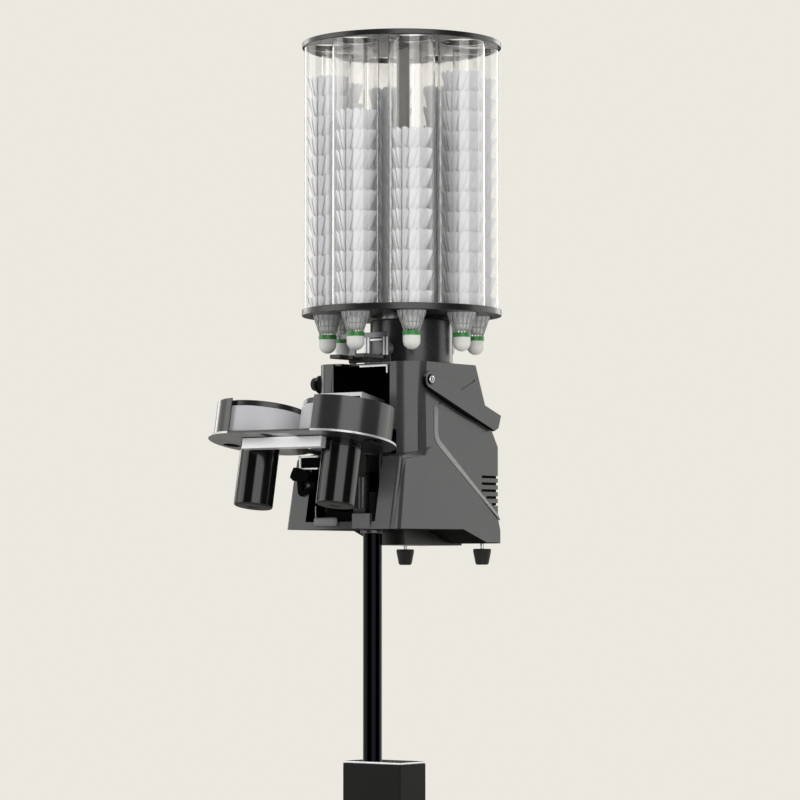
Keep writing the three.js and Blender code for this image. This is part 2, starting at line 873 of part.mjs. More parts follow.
function feederFrame() {
  const bottom = deckTop + seatGap;
  const barBottom = bottom + feederHeight - feederBarHeight;
  const top = bottom + feederHeight;
  const windowRight = feederRight - feederPostWidth;
  const windowLeft = windowRight - feederWindowWidth;
  const panelLeft = windowLeft - feederPostWidth;
  const postLeft = panelLeft - feederPostPitch;
  const postRight = postLeft + feederPostWidth;
  const outline = outlineOf([
    [feederLeft, barBottom], [postLeft, barBottom], [postLeft, bottom], [postRight, bottom],
    [postRight, barBottom], [panelLeft, barBottom], [panelLeft, bottom], [feederRight, bottom],
    [feederRight, top], [feederLeft, top],
  ]);
  const frame = thickened(outline, feederY, feederY + feederThickness);
  const window = block(
    windowLeft, windowRight, feederY - overrun, feederY + overrun, bottom + feederSillHeight, barBottom);
  const flange = block(
    panelLeft, feederRight, feederY, feederY + feederFlangeDepth, bottom, bottom + feederFlangeThickness);
  return cut(joined([frame, flange]), [window]);
}

function feedMotor() {
  const x = feederRight - feederPostWidth - feederWindowWidth / 2;
  const z = deckTop + feederHeight / 2;
  const back = feederY + feederThickness + seatGap;
  const can = lengthBar(feedMotorRadius, back, back + feedMotorLength, x, z);
  const footHalf = feedMotorRadius / 2;
  const footFront = feederY + feederFlangeDepth + seatGap;
  const foot = block(x - footHalf, x + footHalf, footFront, back + feedMotorLength, deckTop + seatGap, z);
  return joined([can, foot]);
}

function feedCarriage() {
  return block(
    -carriageHalfWidth, carriageHalfWidth, carriageFront, carriageBack, jawTop - carriageHeight, jawTop);
}

function gripJaw(sign) {
  const far = feedY - jawReach;
  const near = carriageFront - seatGap;
  const shape = new THREE.Shape();
  const fingerInset = corkRadius / 2;
  const notch = corkRadius + seatGap;
  const inner = sign * (jawOpen - fingerInset);
  const outer = sign * (jawOpen + jawWidth);
  const start = Math.acos((jawOpen - fingerInset - jawTravel) / notch);
  shape.moveTo(outer, near);
  shape.lineTo(inner, near);
  for (let i = 0; i <= arcSteps; i += 1) {
    const angle = start - start * 2 * i / arcSteps;
    shape.lineTo(sign * (jawTravel + notch * Math.cos(angle)), feedY + notch * Math.sin(angle));
  }
  shape.lineTo(inner, far);
  shape.lineTo(outer, far);
  return raised(shape, jawBottom, jawTop);
}

// Carrying handle

function carryHandle() {
  const inner = headHalfWidth + handleSideGap;
  const outer = inner + handleArmThickness;
  const gripFront = handleArmLength - handleGripDepth / 2;
  const gripBack = gripFront + handleGripDepth;
  const armTop = handleArmWidth / 2;
  const arm = new THREE.Shape();
  arm.absarc(0, 0, handlePivotWidth / 2, Math.PI / 2, Math.PI * 3 / 2);
  arm.lineTo(gripFront, -armTop);
  arm.lineTo(gripBack, handleGripDepth - armTop);
  arm.lineTo(gripBack, armTop);
  const pivotHole = crossBar(handleScrewRadius + seatGap, -outer - overrun, outer + overrun);
  const arms = [[-outer, -inner], [inner, outer]].map((sides) => widened(arm, ...sides));
  const bail = block(-outer, outer, gripFront, gripBack, armTop - handleGripWidth, armTop);
  const handle = cut(joined([...arms, bail]), [pivotHole]);
  const droop = Math.atan2(handleDrop, handleReach);
  return handle.rotateX(-droop).translate(0, handlePivotY, handlePivotHeight);
}

function handlePin(pinHeadRadius, pinHeadLength, sign) {
  const inner = headHalfWidth - headWall * 2;
  const armOuter = headHalfWidth + handleSideGap + handleArmThickness + seatGap;
  const pin = turned([
    [0, inner], [handleScrewRadius, inner], [handleScrewRadius, armOuter], [pinHeadRadius, armOuter],
    [pinHeadRadius, armOuter + pinHeadLength], [0, armOuter + pinHeadLength],
  ], smallFacets);
  return pin.rotateY(sign * Math.PI / 2).translate(0, handlePivotY, handlePivotHeight);
}

// Launcher pieces, about the tilt axis

const plateBottom = plateTop - plateThickness;
const lobeHoleX = wheelOffsetX + lobeHoleOffset;

function launcherPlate() {
  const cheekOuter = cheekGap + cheekThickness;
  const bottomCut = plateBottom - overrun;
  const topCut = plateTop + overrun;
  const lobes = [-1, 1].map((sign) => bar(
    lobeRadius, plateBottom, plateTop, sign * wheelOffsetX, -wheelReach, fineFacets));
  const front = block(-wheelOffsetX, wheelOffsetX, -plateFrontReach, -wheelReach, plateBottom, plateTop);
  const rear = block(-cheekOuter, cheekOuter, -wheelReach, -cheekFrontReach, plateBottom, plateTop);
  const cheekOutline = outlineOf([
    [-cheekFrontReach - cheekToe, plateBottom], [cheekBackReach, plateBottom / 2],
    [cheekBackReach, cheekHeight], [-cheekBackReach, cheekHeight], [-cheekFrontReach - cheekToe, plateTop],
  ]);
  const cheeks = [[-cheekOuter, -cheekGap], [cheekGap, cheekOuter]]
    .map((sides) => widened(cheekOutline, ...sides));
  const slot = block(
    -plateWaistHalf, plateWaistHalf, -plateFrontReach - overrun, overrun - cheekFrontReach,
    bottomCut, topCut);
  const webHalf = plateWaistHalf + overrun;
  const web = block(-webHalf, webHalf, -plateFrontReach, webDepth - plateFrontReach, plateBottom, plateTop);
  const shaftHole = crossBar(tiltShaftRadius + seatGap, -cheekGap * 2, cheekGap * 2);
  const holes = [-1, 1].flatMap((sign) => [
    bar(lobeHoleRadius, bottomCut, topCut, sign * lobeHoleX, -wheelReach),
    bar(motorShaftRadius + seatGap, bottomCut, topCut, sign * wheelOffsetX, -wheelReach, smallFacets),
  ]);
  return cut(joined([cut(joined([...lobes, front, rear]), [slot]), ...cheeks, web]), [shaftHole, ...holes]);
}

function frontBar() {
  const top = plateBottom - seatGap;
  const front = -plateFrontReach;
  return block(-frontBarHalf, frontBarHalf, front, front + frontBarDepth, top - frontBarHeight, top);
}

function wheelGuard(sign, endAngle) {
  const shape = new THREE.Shape();
  const start = -Math.PI / 2 - degrees(endAngle);
  const end = Math.PI / 2;
  shape.absarc(0, 0, guardRadius, start, end, false);
  shape.absarc(0, 0, guardRadius - guardWall, end, start, true);
  const bottom = plateTop + seatGap;
  const guard = raised(shape, bottom, bottom + guardHeight, { curveSegments: roundFacets / 2 });
  const mirrored = sign < 0 ? guard.scale(-1, 1, 1) : guard;
  return facingOut(mirrored).translate(sign * wheelOffsetX, -wheelReach, 0);
}

function wheelMotor(sign) {
  const top = plateBottom - seatGap;
  const bottom = top - wheelMotorLength;
  const shaftTop = tyreBottom + hubWebHeight + hubWebThickness;
  const profile = [
    [0, bottom], [wheelMotorRadius - wheelMotorRound, bottom],
    [wheelMotorRadius, bottom + wheelMotorRound], [wheelMotorRadius, top], [motorShaftRadius, top],
    [motorShaftRadius, shaftTop], [0, shaftTop],
  ];
  return turned(profile).translate(sign * wheelOffsetX, -wheelReach, 0);
}

function wheelHub(sign) {
  const webBottom = tyreBottom + hubWebHeight;
  const webTop = webBottom + hubWebThickness;
  const tyreTop = tyreBottom + tyreWidth;
  const rimTop = tyreTop + hubRimRise;
  const bore = motorShaftRadius + seatGap;
  const inner = hubRadius - hubWall;
  const rimBottom = tyreTop + seatGap;
  const profile = closedProfile([
    [bore, webBottom - hubBossRise], [hubBossRadius, webBottom - hubBossRise], [hubBossRadius, webBottom],
    [inner, webBottom], [inner, tyreBottom], [hubRadius, tyreBottom], [hubRadius, rimBottom],
    [hubRimRadius, rimBottom], [hubRimRadius, rimTop], [inner, rimTop], [inner, webTop],
    [hubBossRadius, webTop], [hubBossRadius, webTop + hubBossRise], [bore, webTop + hubBossRise],
  ]);
  return turned(profile).translate(sign * wheelOffsetX, -wheelReach, 0);
}

function wheelTyre(sign) {
  const tyre = ring(tyreRadius, hubRadius + seatGap, tyreBottom, tyreBottom + tyreWidth);
  return tyre.translate(sign * wheelOffsetX, -wheelReach, 0);
}

function tiltShaft() {
  return crossBar(tiltShaftRadius, -tiltShaftHalf, tiltShaftHalf);
}

function shuttleChute() {
  const slope = degrees(chuteSlope);
  const frontY = chuteTopY - chuteFloorLength * Math.cos(slope);
  const frontZ = chuteTopZ - chuteFloorLength * Math.sin(slope);
  const outer = cheekGap - seatGap;
  const inner = outer - chuteWall;
  const lower = chuteFloorThickness / Math.cos(slope);
  const underside = [[frontY, frontZ - lower], [chuteTopY, chuteTopZ - lower], [chuteTopY, chuteTopZ]];
  const wall = outlineOf([
    ...underside, [-chuteBackReach, chuteHeight], [-chuteFrontReach, chuteHeight], [frontY, frontZ],
  ]);
  const floor = outlineOf([...underside, [frontY, frontZ]]);
  const strap = block(
    -outer, outer, -chuteFrontReach, chuteWall - chuteFrontReach,
    chuteHeight - chuteStrapHeight, chuteHeight);
  const walls = [[-outer, -inner], [inner, outer]].map((sides) => widened(wall, ...sides));
  return joined([...walls, widened(floor, -outer, outer), strap]);
}

// Tilt drive, fixed in the head

function tiltBracket() {
  const floor = headWall + seatGap;
  const motorFront = tiltMotorY - tiltMotorRadius - seatGap;
  const front = Math.min(motorFront, tiltY - bracketHalfDepth);
  const outer = bracketInner + bracketThickness;
  const footBack = -bearingFlangeRadius - seatGap;
  const foot = block(-outer, outer, footBack - bracketFootDepth, footBack, floor, floor + bracketThickness);
  const uprights = [[-outer, -bracketInner], [bracketInner, outer]].map((sides) => block(
    ...sides, front, tiltY + bracketHalfDepth, floor, tiltHeight + bracketRise));
  const hole = crossBar(tiltShaftRadius + seatGap, -outer * 2, outer * 2, tiltY, tiltHeight);
  return cut(joined([foot, ...uprights]), [hole]);
}

function tiltMotor() {
  const bottom = headWall + bracketThickness + seatGap * 2;
  const top = bottom + tiltMotorLength;
  const can = bar(tiltMotorRadius, bottom, top, tiltMotorX, tiltMotorY, smallFacets);
  const box = block(
    tiltMotorX - gearboxHalf, tiltMotorX + gearboxHalf, tiltY - gearboxFront, tiltY + gearboxBack,
    top, tiltHeight + gearboxRise);
  const bore = crossBar(tiltShaftRadius + seatGap, -skirtHalfWidth, skirtHalfWidth, tiltY, tiltHeight);
  return cut(joined([can, box]), [bore]);
}

// Power switch

function powerSwitch() {
  const halfHeight = switchHeight / 2 - seatGap;
  const rocker = block(
    -switchWidth / 2, switchWidth / 2, -switchDepth / 2, switchDepth / 2, -halfHeight, halfHeight);
  rocker.rotateX(degrees(switchRestTilt));
  return rocker.translate(switchX, switchWallY - headWall / 2, switchCentreHeight);
}

// The assembly

const stand = group([0, 0, 0], [
  part('base_plate', basePlate(), finishes.blackSteel),
  part('lift_column', liftColumn(), finishes.blackPlastic),
  part('column_collar', columnCollar(), finishes.brightSteel),
  part('gas_strut_tube', strutTube(), finishes.blackSteel),
  part('gas_strut_rod', strutRod(), finishes.brightSteel),
  part('lift_pole', liftPole(), finishes.polishedPole),
]);

const wheelSides = [['left', -1], ['right', 1]];

const launcher = group([0, tiltY, tiltHeight], [
  part('launcher_plate', launcherPlate(), finishes.blackSteel),
  part('front_bar', frontBar(), finishes.aluminium),
  part('tilt_shaft', tiltShaft(), finishes.brightSteel),
  part('shuttle_chute', shuttleChute(), finishes.aluminium),
  ...wheelSides.flatMap(([side, sign]) => [
    part(`wheel_guard_${side}`, wheelGuard(sign, guardEndAngles[side]), finishes.guardPlastic),
    part(`wheel_motor_${side}`, wheelMotor(sign), finishes.blackSteel),
    part(`wheel_hub_${side}`, wheelHub(sign), finishes.blackPlastic),
    part(`wheel_tyre_${side}`, wheelTyre(sign), finishes.tyreFoam),
  ]),
]);
launcher.rotation.x = degrees(-restTilt);

const carousel = group([0, 0, 0], [
  part('carousel_bottom_disc', bottomDisc(), finishes.blackPlastic),
  part('carousel_top_disc', topDisc(), finishes.blackPlastic),
  part('carousel_post', carouselPost(), finishes.blackSteel),
  ...shuttlesPerTube.flatMap((_, index) => [
    part(`clear_tube_${index + 1}`, clearTube(index), finishes.clearTube),
    part(`shuttle_stack_${index + 1}`, shuttleStack(index), finishes.feather),
  ]),
]);

const head = group([0, 0, headZ], [
  part('shell_left', headShell(-1), finishes.greyShell),
  part('shell_right', headShell(1), finishes.greyShell),
  part('base_tray', baseTray(), finishes.blackPlastic),
  part('battery_pack', batteryPack(), finishes.blackPlastic),
  part('control_board', controlBoard(), finishes.board),
  part('rear_foot_left', rearFoot(-1), finishes.rubber),
  part('rear_foot_right', rearFoot(1), finishes.rubber),
  part('pan_bearing', panBearing(), finishes.brightSteel),
  part('pan_motor', panMotor(), finishes.blackSteel),
  part('neck_shell', neckShell(), finishes.neckPlastic),
  part('turntable_bearing', turntableBearing(), finishes.brightSteel),
  part('carousel_motor', carouselMotor(), finishes.blackSteel),
  part('feeder_frame', feederFrame(), finishes.aluminium),
  part('feed_motor', feedMotor(), finishes.aluminium),
  part('feed_carriage', feedCarriage(), finishes.blackPlastic),
  part('grip_jaw_left', gripJaw(-1), finishes.blackPlastic),
  part('grip_jaw_right', gripJaw(1), finishes.blackPlastic),
  part('carry_handle', carryHandle(), finishes.greyShell),
  part('handle_screw', handlePin(handleScrewHeadRadius, handleScrewHeadLength, 1), finishes.brightSteel),
  part('handle_knob', handlePin(handleKnobRadius, handleKnobLength, -1), finishes.blackPlastic),
  part('tilt_bracket', tiltBracket(), finishes.blackSteel),
  part('tilt_motor', tiltMotor(), finishes.blackSteel),
  part('power_switch', powerSwitch(), finishes.blackPlastic),
  carousel,
  launcher,
]);

const machine = new THREE.Group();
machine.name = 'badminton_shuttlecock_machine';
machine.add(stand, head);

export default machine;
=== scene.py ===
# %% [markdown]
# # A badminton shuttlecock machine
# The machine stands on a lifting pole. Eight clear tubes of shuttlecocks turn on a carousel, a small gripper
# drops one shuttlecock at a time into a chute, and two spinning wheels throw it forward. The frame that is
# loaded first holds every part at its real size, so each new piece here takes its place from that frame.

# %% Load the frame
import json
import math

import bpy
from mathutils import Matrix, Vector


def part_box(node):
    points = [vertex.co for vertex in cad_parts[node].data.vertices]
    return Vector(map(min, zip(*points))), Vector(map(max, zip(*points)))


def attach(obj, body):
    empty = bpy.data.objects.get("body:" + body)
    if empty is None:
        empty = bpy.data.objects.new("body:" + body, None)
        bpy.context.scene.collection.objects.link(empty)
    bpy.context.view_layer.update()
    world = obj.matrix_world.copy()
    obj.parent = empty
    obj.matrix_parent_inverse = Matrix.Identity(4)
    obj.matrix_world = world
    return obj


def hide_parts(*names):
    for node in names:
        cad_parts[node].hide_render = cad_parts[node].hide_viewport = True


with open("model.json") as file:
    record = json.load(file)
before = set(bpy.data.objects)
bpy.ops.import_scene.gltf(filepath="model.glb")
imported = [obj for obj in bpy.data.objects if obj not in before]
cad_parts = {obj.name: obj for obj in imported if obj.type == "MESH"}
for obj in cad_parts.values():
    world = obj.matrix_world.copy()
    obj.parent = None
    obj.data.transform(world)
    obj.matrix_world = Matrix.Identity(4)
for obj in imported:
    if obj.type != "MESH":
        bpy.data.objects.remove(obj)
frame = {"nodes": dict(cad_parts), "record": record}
nodes = frame["nodes"]
joints = {joint["name"]: joint for joint in frame["record"]["behaviour"]["joints"]}
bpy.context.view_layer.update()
scene = bpy.context.scene

# %% [markdown]
# Blender works in metres, and a maker reads millimetres, so a small length here is a number times MM. Pieces
# that seat on each other without being glued keep one small gap, which has one name.

# %% Units
MM = 0.001
FULL_TURN = 360
MERGE_DISTANCE = 0.001 * MM
COPY_MERGE_DISTANCE = 0.01 * MM
SEAT_GAP = 0.3 * MM
SIDES = (("left", -1), ("right", 1))


def middle(node):
    """The centre of a CAD node's box."""
    low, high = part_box(node)
    return (low + high) / 2


# %% [markdown]
# ## The camera
# A product shot from far away with a long lens flattens perspective. The lens and the distance here come from
# how fast the picture's sizes shrink with depth, and the slight upward pitch from where its horizon lies.

# %% Place the camera
PICTURE_SIDE = 800
FOCAL_PIXELS = 3450
HORIZON_PIXEL_Y = 580
AXIS_PIXEL_X = 401.7
SENSOR_WIDTH = 36
VIEW_AZIMUTH = 37.5
CAMERA_DISTANCE = 5.17
CAMERA_HEIGHT = 0.71
FARTHEST_SEEN = 100

carousel_axis = middle("carousel_post")
turn = math.radians(VIEW_AZIMUTH)
camera_place = Vector((
    carousel_axis.x + CAMERA_DISTANCE * math.sin(turn),
    carousel_axis.y - CAMERA_DISTANCE * math.cos(turn),
    CAMERA_HEIGHT,
))
pitch = math.atan((HORIZON_PIXEL_Y - PICTURE_SIDE / 2) / FOCAL_PIXELS)
yaw = turn + math.atan((AXIS_PIXEL_X - PICTURE_SIDE / 2) / FOCAL_PIXELS)
bpy.ops.object.camera_add(location=camera_place, rotation=(math.pi / 2 + pitch, 0, yaw))
camera = bpy.context.active_object
camera.data.sensor_width = SENSOR_WIDTH
camera.data.lens = FOCAL_PIXELS * SENSOR_WIDTH / PICTURE_SIDE
camera.data.clip_end = FARTHEST_SEEN
scene.camera = camera
scene.view_settings.view_transform = "Standard"
print("lens in millimetres:", round(camera.data.lens, 2))


# %% [markdown]
# ## Building materials from nodes
# Colours are picked on a screen, so they are sRGB hex values, and one function turns them into the linear
# values that the shader reads. Another adds one node with its settings and links, which keeps every material
# below short enough to read.

# %% Colour and node helpers
def colour(hex_value):
    """An sRGB hex colour as linear red, green, blue and alpha."""
    channels = [int(hex_value[i:i + 2], 16) / 255 for i in (1, 3, 5)]
    linear = [c / 12.92 if c <= 0.04045 else ((c + 0.055) / 1.055) ** 2.4 for c in channels]
    return (*linear, 1)


def add(tree, kind, inputs=(), **settings):
    """One new node. Inputs are pairs of a socket and its value, or the socket that feeds it."""
    made = tree.nodes.new("ShaderNode" + kind)
    for name, value in settings.items():
        setattr(made, name, value)
    for socket, value in dict(inputs).items():
        if isinstance(value, bpy.types.NodeSocket):
            tree.links.new(value, made.inputs[socket])
        else:
            made.inputs[socket].default_value = value
    return made


def blank(name):
    """A new material, its node tree and its output node."""
    material = bpy.data.materials.new(name)
    material.use_nodes = True
    material.node_tree.nodes.clear()
    output = add(material.node_tree, "OutputMaterial")
    return material, material.node_tree, output


# %% [markdown]
# Nearly every surface here is a moulded, painted or turned one with two things in common: its colour and its
# gloss vary a little over a few centimetres, and it has a fine relief, the grain. One function makes that
# family, with grain and patch sizes in millimetres. Stretching the pattern along one axis turns the grain
# into brush marks. Real grain is often under 0.1 mm, too fine to show from here, so it is drawn about ten
# times as coarse.

# %% A family of grained surfaces
PATCH_SIZE = 45 * MM
GRAIN_SHARE = 0.35
NOISE_LOW, NOISE_HIGH = 0.3, 0.7
RELIEF_STRENGTH = 0.5


def surface(name, dark, light, roughness, gloss_spread=0.05, metallic=0, ior=1.5, grain=0.8 * MM,
            relief=0.05 * MM, stretch=(1, 1, 1)):
    """A surface whose colour runs from dark to light and whose gloss varies by gloss_spread either way."""
    material, tree, output = blank(name)
    place = add(tree, "TexCoord")
    drawn = add(tree, "Mapping", {0: place.outputs["Object"], 3: stretch})
    patches = add(tree, "TexNoise", {"Vector": drawn.outputs[0], "Scale": 1 / PATCH_SIZE, "Detail": 3})
    fine = add(tree, "TexNoise", {"Vector": drawn.outputs[0], "Scale": 1 / grain, "Detail": 2})
    both = add(tree, "Mix", {0: GRAIN_SHARE, 2: patches.outputs[0], 3: fine.outputs[0]})
    tint = add(tree, "Mix", {0: both.outputs[0], 6: colour(dark), 7: colour(light)}, data_type="RGBA")
    smooth, rough = roughness - gloss_spread, roughness + gloss_spread
    gloss = add(tree, "MapRange", {0: both.outputs[0], 1: NOISE_LOW, 2: NOISE_HIGH, 3: smooth, 4: rough})
    bump = add(tree, "Bump", {"Height": fine.outputs[0], "Distance": relief, "Strength": RELIEF_STRENGTH})
    shader = add(tree, "BsdfPrincipled", {
        "Base Color": tint.outputs[2], "Roughness": gloss.outputs[0], "Normal": bump.outputs[0]})
    shader.inputs["Metallic"].default_value = metallic
    if metallic == 0:
        shader.inputs["IOR"].default_value = ior
    tree.links.new(shader.outputs[0], output.inputs[0])
    return material


# %% [markdown]
# ## Moulded plastics
# ABS is injection moulded, and the mould's own surface decides the gloss: a spark-eroded mould gives satin, a
# polished one gives gloss. Plastic's IOR lies near 1.5; it is taken lower where a black piece has to stay
# black under a large lamp.

# %% Plastics
# Spark-eroded housing: an even dark grey with wide, soft highlights
shell_abs = surface("satin_grey_abs", "#3b3b3d", "#414143", 0.27, ior=1.46, grain=0.9 * MM)
# The side line: drawn lighter than the wall that it crosses, a painted highlight for the light that its slope
# catches
ridge_painted_highlight = surface("painted_highlight_grey_abs", "#656567", "#6e6e70", 0.3, ior=1.6, grain=1.2 * MM)
# Plain black inner mouldings: dull, with hardly a highlight
black_abs = surface("black_abs", "#0e0e0f", "#161617", 0.42, grain=0.9 * MM)
# Sleeve of the column: matt and nearly without reflection, so its two faces stay almost black
column_abs = surface("matt_black_abs", "#050505", "#090909", 0.5, ior=1.25, grain=0.9 * MM)
# Carousel discs: smoother, so their rims draw thin grey lines
disc_abs = surface("black_disc_abs", "#161617", "#1d1d1e", 0.3, grain=1.5 * MM, relief=0.02 * MM)
# Neck: smooth enough to show the lamps as upright bands
neck_abs = surface("smooth_neck_abs", "#2b2b2d", "#333335", 0.27, ior=1.48, grain=1.5 * MM, relief=0.02 * MM)
# Wheel guards: the glossiest moulding, with one clear light band round the wheel
guard_abs = surface("satin_guard_abs", "#2d2d2f", "#343436", 0.2, ior=1.5, grain=1.5 * MM, relief=0.02 * MM)
# Small motor's cap: a light grey that stands out behind the feeder's window
grey_plastic = surface("light_grey_plastic", "#6c6c6f", "#78787b", 0.4, grain=1 * MM, relief=0.02 * MM)
# Heat-shrunk film on the battery: blue black and loosely rippled
shrink_film = surface("blue_black_shrink_film", "#10131c", "#181c28", 0.22, grain=6 * MM, relief=0.2 * MM)
# Solder mask on the control board: even and faintly glossy
solder_mask = surface("black_solder_mask", "#0c0e10", "#15181b", 0.35, grain=1.2 * MM, relief=0.04 * MM)

# %% [markdown]
# ## Rubber and foam
# Rubber scatters nearly all its light, so it is rough and dark. Foam tyres are ground round on a lathe, which
# leaves a fine, even, matt skin.

# %% Rubber and foam
# Black rubber, and painted shade inside the housing, behind the vents, under the handle's arms and round the
# neck's foot: a black that shows no shape
rubber_and_painted_shade = surface("black_rubber_and_painted_shade", "#030303", "#060606", 0.9, ior=1.15, grain=0.8 * MM)
# Feet and grips: black with a dusty, broad sheen
rubber = surface("black_rubber", "#0c0c0c", "#151515", 0.72, grain=0.6 * MM, relief=0.1 * MM)
# Ground polyurethane of the tyres: a pale, flat grey
tyre_foam = surface("ground_polyurethane", "#c2c2c5", "#cfcfd2", 0.5, grain=0.7 * MM, relief=0.06 * MM)

# %% [markdown]
# ## Paint and metal
# Metals keep the default IOR and get their look from roughness: chrome is nearly a mirror, turned steel a
# little softer, and brushed aluminium has its grain stretched along the brush. Two bright pieces are mixed
# with a matt share, so that they look bright from every side; on the plate's cut edge and the feeder's edge
# bars that brightness is a painted highlight.

# %% Paint and metal
# Powder coat: slightly pebbled, like orange peel
powder_coat = surface("black_powder_coat", "#141416", "#1d1d20", 0.5, grain=0.6 * MM, relief=0.12 * MM)
# Baked enamel on the motors: glossy, so tall grey bands run down the cans
enamel = surface("gloss_black_enamel", "#0b0b0c", "#111112", 0.14, ior=1.45, grain=2 * MM, relief=0.01 * MM)
# Sprayed paint on the launcher's plate: smooth and satin
plate_paint = surface("satin_black_paint", "#1a1a1c", "#222224", 0.32, grain=2 * MM, relief=0.01 * MM)
# Black chrome of the pole: a dark mirror that draws the lamps as long streaks
dark_chrome = surface(
    "dark_chrome", "#0a0a0b", "#101012", 0.08, 0.03, metallic=1, grain=3 * MM, relief=0.004 * MM)
# Tumbled steel sheet of the feeder: a soft grey without a grain direction
satin_steel = surface("satin_steel", "#5c5d60", "#6c6d70", 0.36, metallic=1, grain=0.8 * MM, relief=0.02 * MM)
# Steel off the lathe: fine rings, from a pattern squeezed along its axis
turned_steel = surface(
    "turned_steel", "#b4b6ba", "#c8cacd", 0.26, metallic=1, grain=0.5 * MM, relief=0.02 * MM,
    stretch=(1, 1, 6))
# Brushed sheet of the chute: streaks run along the brush, from side to side
brushed_aluminium = surface(
    "brushed_aluminium", "#8d8d90", "#b4b4b7", 0.38, metallic=1, grain=0.5 * MM, relief=0.03 * MM,
    stretch=(0.04, 1, 1))
# Lacquered front bar, and near-white bars that stand for lit edges as painted highlights: nearly white from
# every side
bar_and_painted_highlights = surface(
    "bar_and_painted_highlights", "#cfcfd2", "#e6e6e8", 0.42, metallic=0.6, grain=0.5 * MM, relief=0.03 * MM,
    stretch=(1, 0.1, 0.1))
# Cut edge of the plate: a thin bright line round each lobe, a painted highlight
edge_painted_highlight = surface(
    "plate_edge_painted_highlight", "#b4b5b8", "#c8c9cc", 0.45, metallic=0.7, grain=1.5 * MM, relief=0.01 * MM)

# %% [markdown]
# ## What a shuttlecock is made of
# The skirt is moulded nylon, white and slightly see-through. Its net is the same nylon, drawn greyer as
# painted shade for the dark that shows through it. The cork has a skin of white leather, and a printed band
# tells the speed.

# %% Shuttlecock finishes
# Vanes: a cool white with a soft sheen
shuttle_nylon = surface("white_nylon", "#cbccd0", "#d6d7da", 0.45, grain=0.8 * MM, relief=0.03 * MM)
# Ribs and rings: the same sheen, drawn greyer as painted shade for the dark that shows between them
net_painted_shade_nylon = surface("net_nylon_painted_shade", "#a9aaac", "#b6b7b9", 0.45, grain=0.8 * MM, relief=0.03 * MM)
# Cork: a warmer white, and matt
shuttle_cork = surface("kid_skinned_cork", "#ecece8", "#f4f4f0", 0.55, grain=0.5 * MM, relief=0.06 * MM)
# Band: a plain mid green
shuttle_band = surface("green_speed_band", "#2c7a35", "#3a9444", 0.4, grain=1 * MM, relief=0.02 * MM)
print("finishes:", len(bpy.data.materials))

# %% [markdown]
# ## Clear tubes
# The tubes are extruded polycarbonate. A real clear wall lets lamps shine through, and Cycles would need
# thousands of samples to find them through glass, so rays that test for shadows meet a plain transparent
# surface instead. Everything that the eye sees, the bright edges and the streaks, still comes from the glass.
# Polycarbonate's IOR is near 1.6, and a little more than that draws the edges as bright as thick walls do.

# %% Clear polycarbonate
TUBE_ROUGHNESS = 0.03
TUBE_IOR = 1.7
DRAW_WAVE = 12 * MM
DRAW_WAVE_HEIGHT = 0.05 * MM
DRAW_STRETCH = (1, 1, 0.05)
WAVE_STRENGTH = 0.3


def clear_polycarbonate():
    """Clear plastic with the long, faint waves that extruding leaves along a tube."""
    material, tree, output = blank("clear_polycarbonate")
    place = add(tree, "TexCoord")
    drawn = add(tree, "Mapping", {0: place.outputs["Object"], 3: DRAW_STRETCH})
    waves = add(tree, "TexNoise", {"Vector": drawn.outputs[0], "Scale": 1 / DRAW_WAVE, "Detail": 1})
    bump = add(tree, "Bump", {
        "Height": waves.outputs[0], "Distance": DRAW_WAVE_HEIGHT, "Strength": WAVE_STRENGTH})
    shader = add(tree, "BsdfPrincipled", {"Base Color": colour("#ffffff"), "Normal": bump.outputs[0]})
    shader.inputs["Roughness"].default_value = TUBE_ROUGHNESS
    shader.inputs["IOR"].default_value = TUBE_IOR
    shader.inputs["Transmission Weight"].default_value = 1
    path = add(tree, "LightPath")
    open_air = add(tree, "BsdfTransparent", {"Color": colour("#ffffff")})
    mix = add(tree, "MixShader", {
        0: path.outputs["Is Shadow Ray"], 1: shader.outputs[0], 2: open_air.outputs[0]})
    tree.links.new(mix.outputs[0], output.inputs[0])
    return material


clear_tube_finish = clear_polycarbonate()
print("clear finish:", clear_tube_finish.name)

# %% [markdown]
# ## The studio
# The backdrop is the world itself: a pale colour wherever the camera, a reflection or a clear tube looks at
# it, and a plain light for everything else.

# %% World
BACKDROP = "#ebe8e0"
WORLD_LIGHT = 0.36

world = bpy.data.worlds.new("studio")
scene.world = world
world.use_nodes = True
world.node_tree.nodes.clear()
path = add(world.node_tree, "LightPath")
seen = add(world.node_tree, "Math", {0: path.outputs["Is Camera Ray"], 1: path.outputs["Is Glossy Ray"]})
seen_too = add(
    world.node_tree, "Math", {0: seen.outputs[0], 1: path.outputs["Is Transmission Ray"]}, use_clamp=True)
light = add(world.node_tree, "Background", {"Color": (1, 1, 1, 1), "Strength": WORLD_LIGHT})
backdrop = add(world.node_tree, "Background", {"Color": colour(BACKDROP), "Strength": 1})
mixed = add(world.node_tree, "MixShader", {
    0: seen_too.outputs[0], 1: light.outputs[0], 2: backdrop.outputs[0]})
add(world.node_tree, "OutputWorld", {0: mixed.outputs[0]})
print("world light:", WORLD_LIGHT)

# %% [markdown]
# The floor is a painted disc whose edge fades away, so that no line shows where it meets the backdrop. It
# keeps the machine's shadow.

# %% Floor
FLOOR_RADIUS = 3.2
FLOOR_CLEAR_RADIUS = 1.3
FLOOR_STEPS = 96
FLOOR_ROUGHNESS = 0.7
SPECKS_PER_METRE = 9

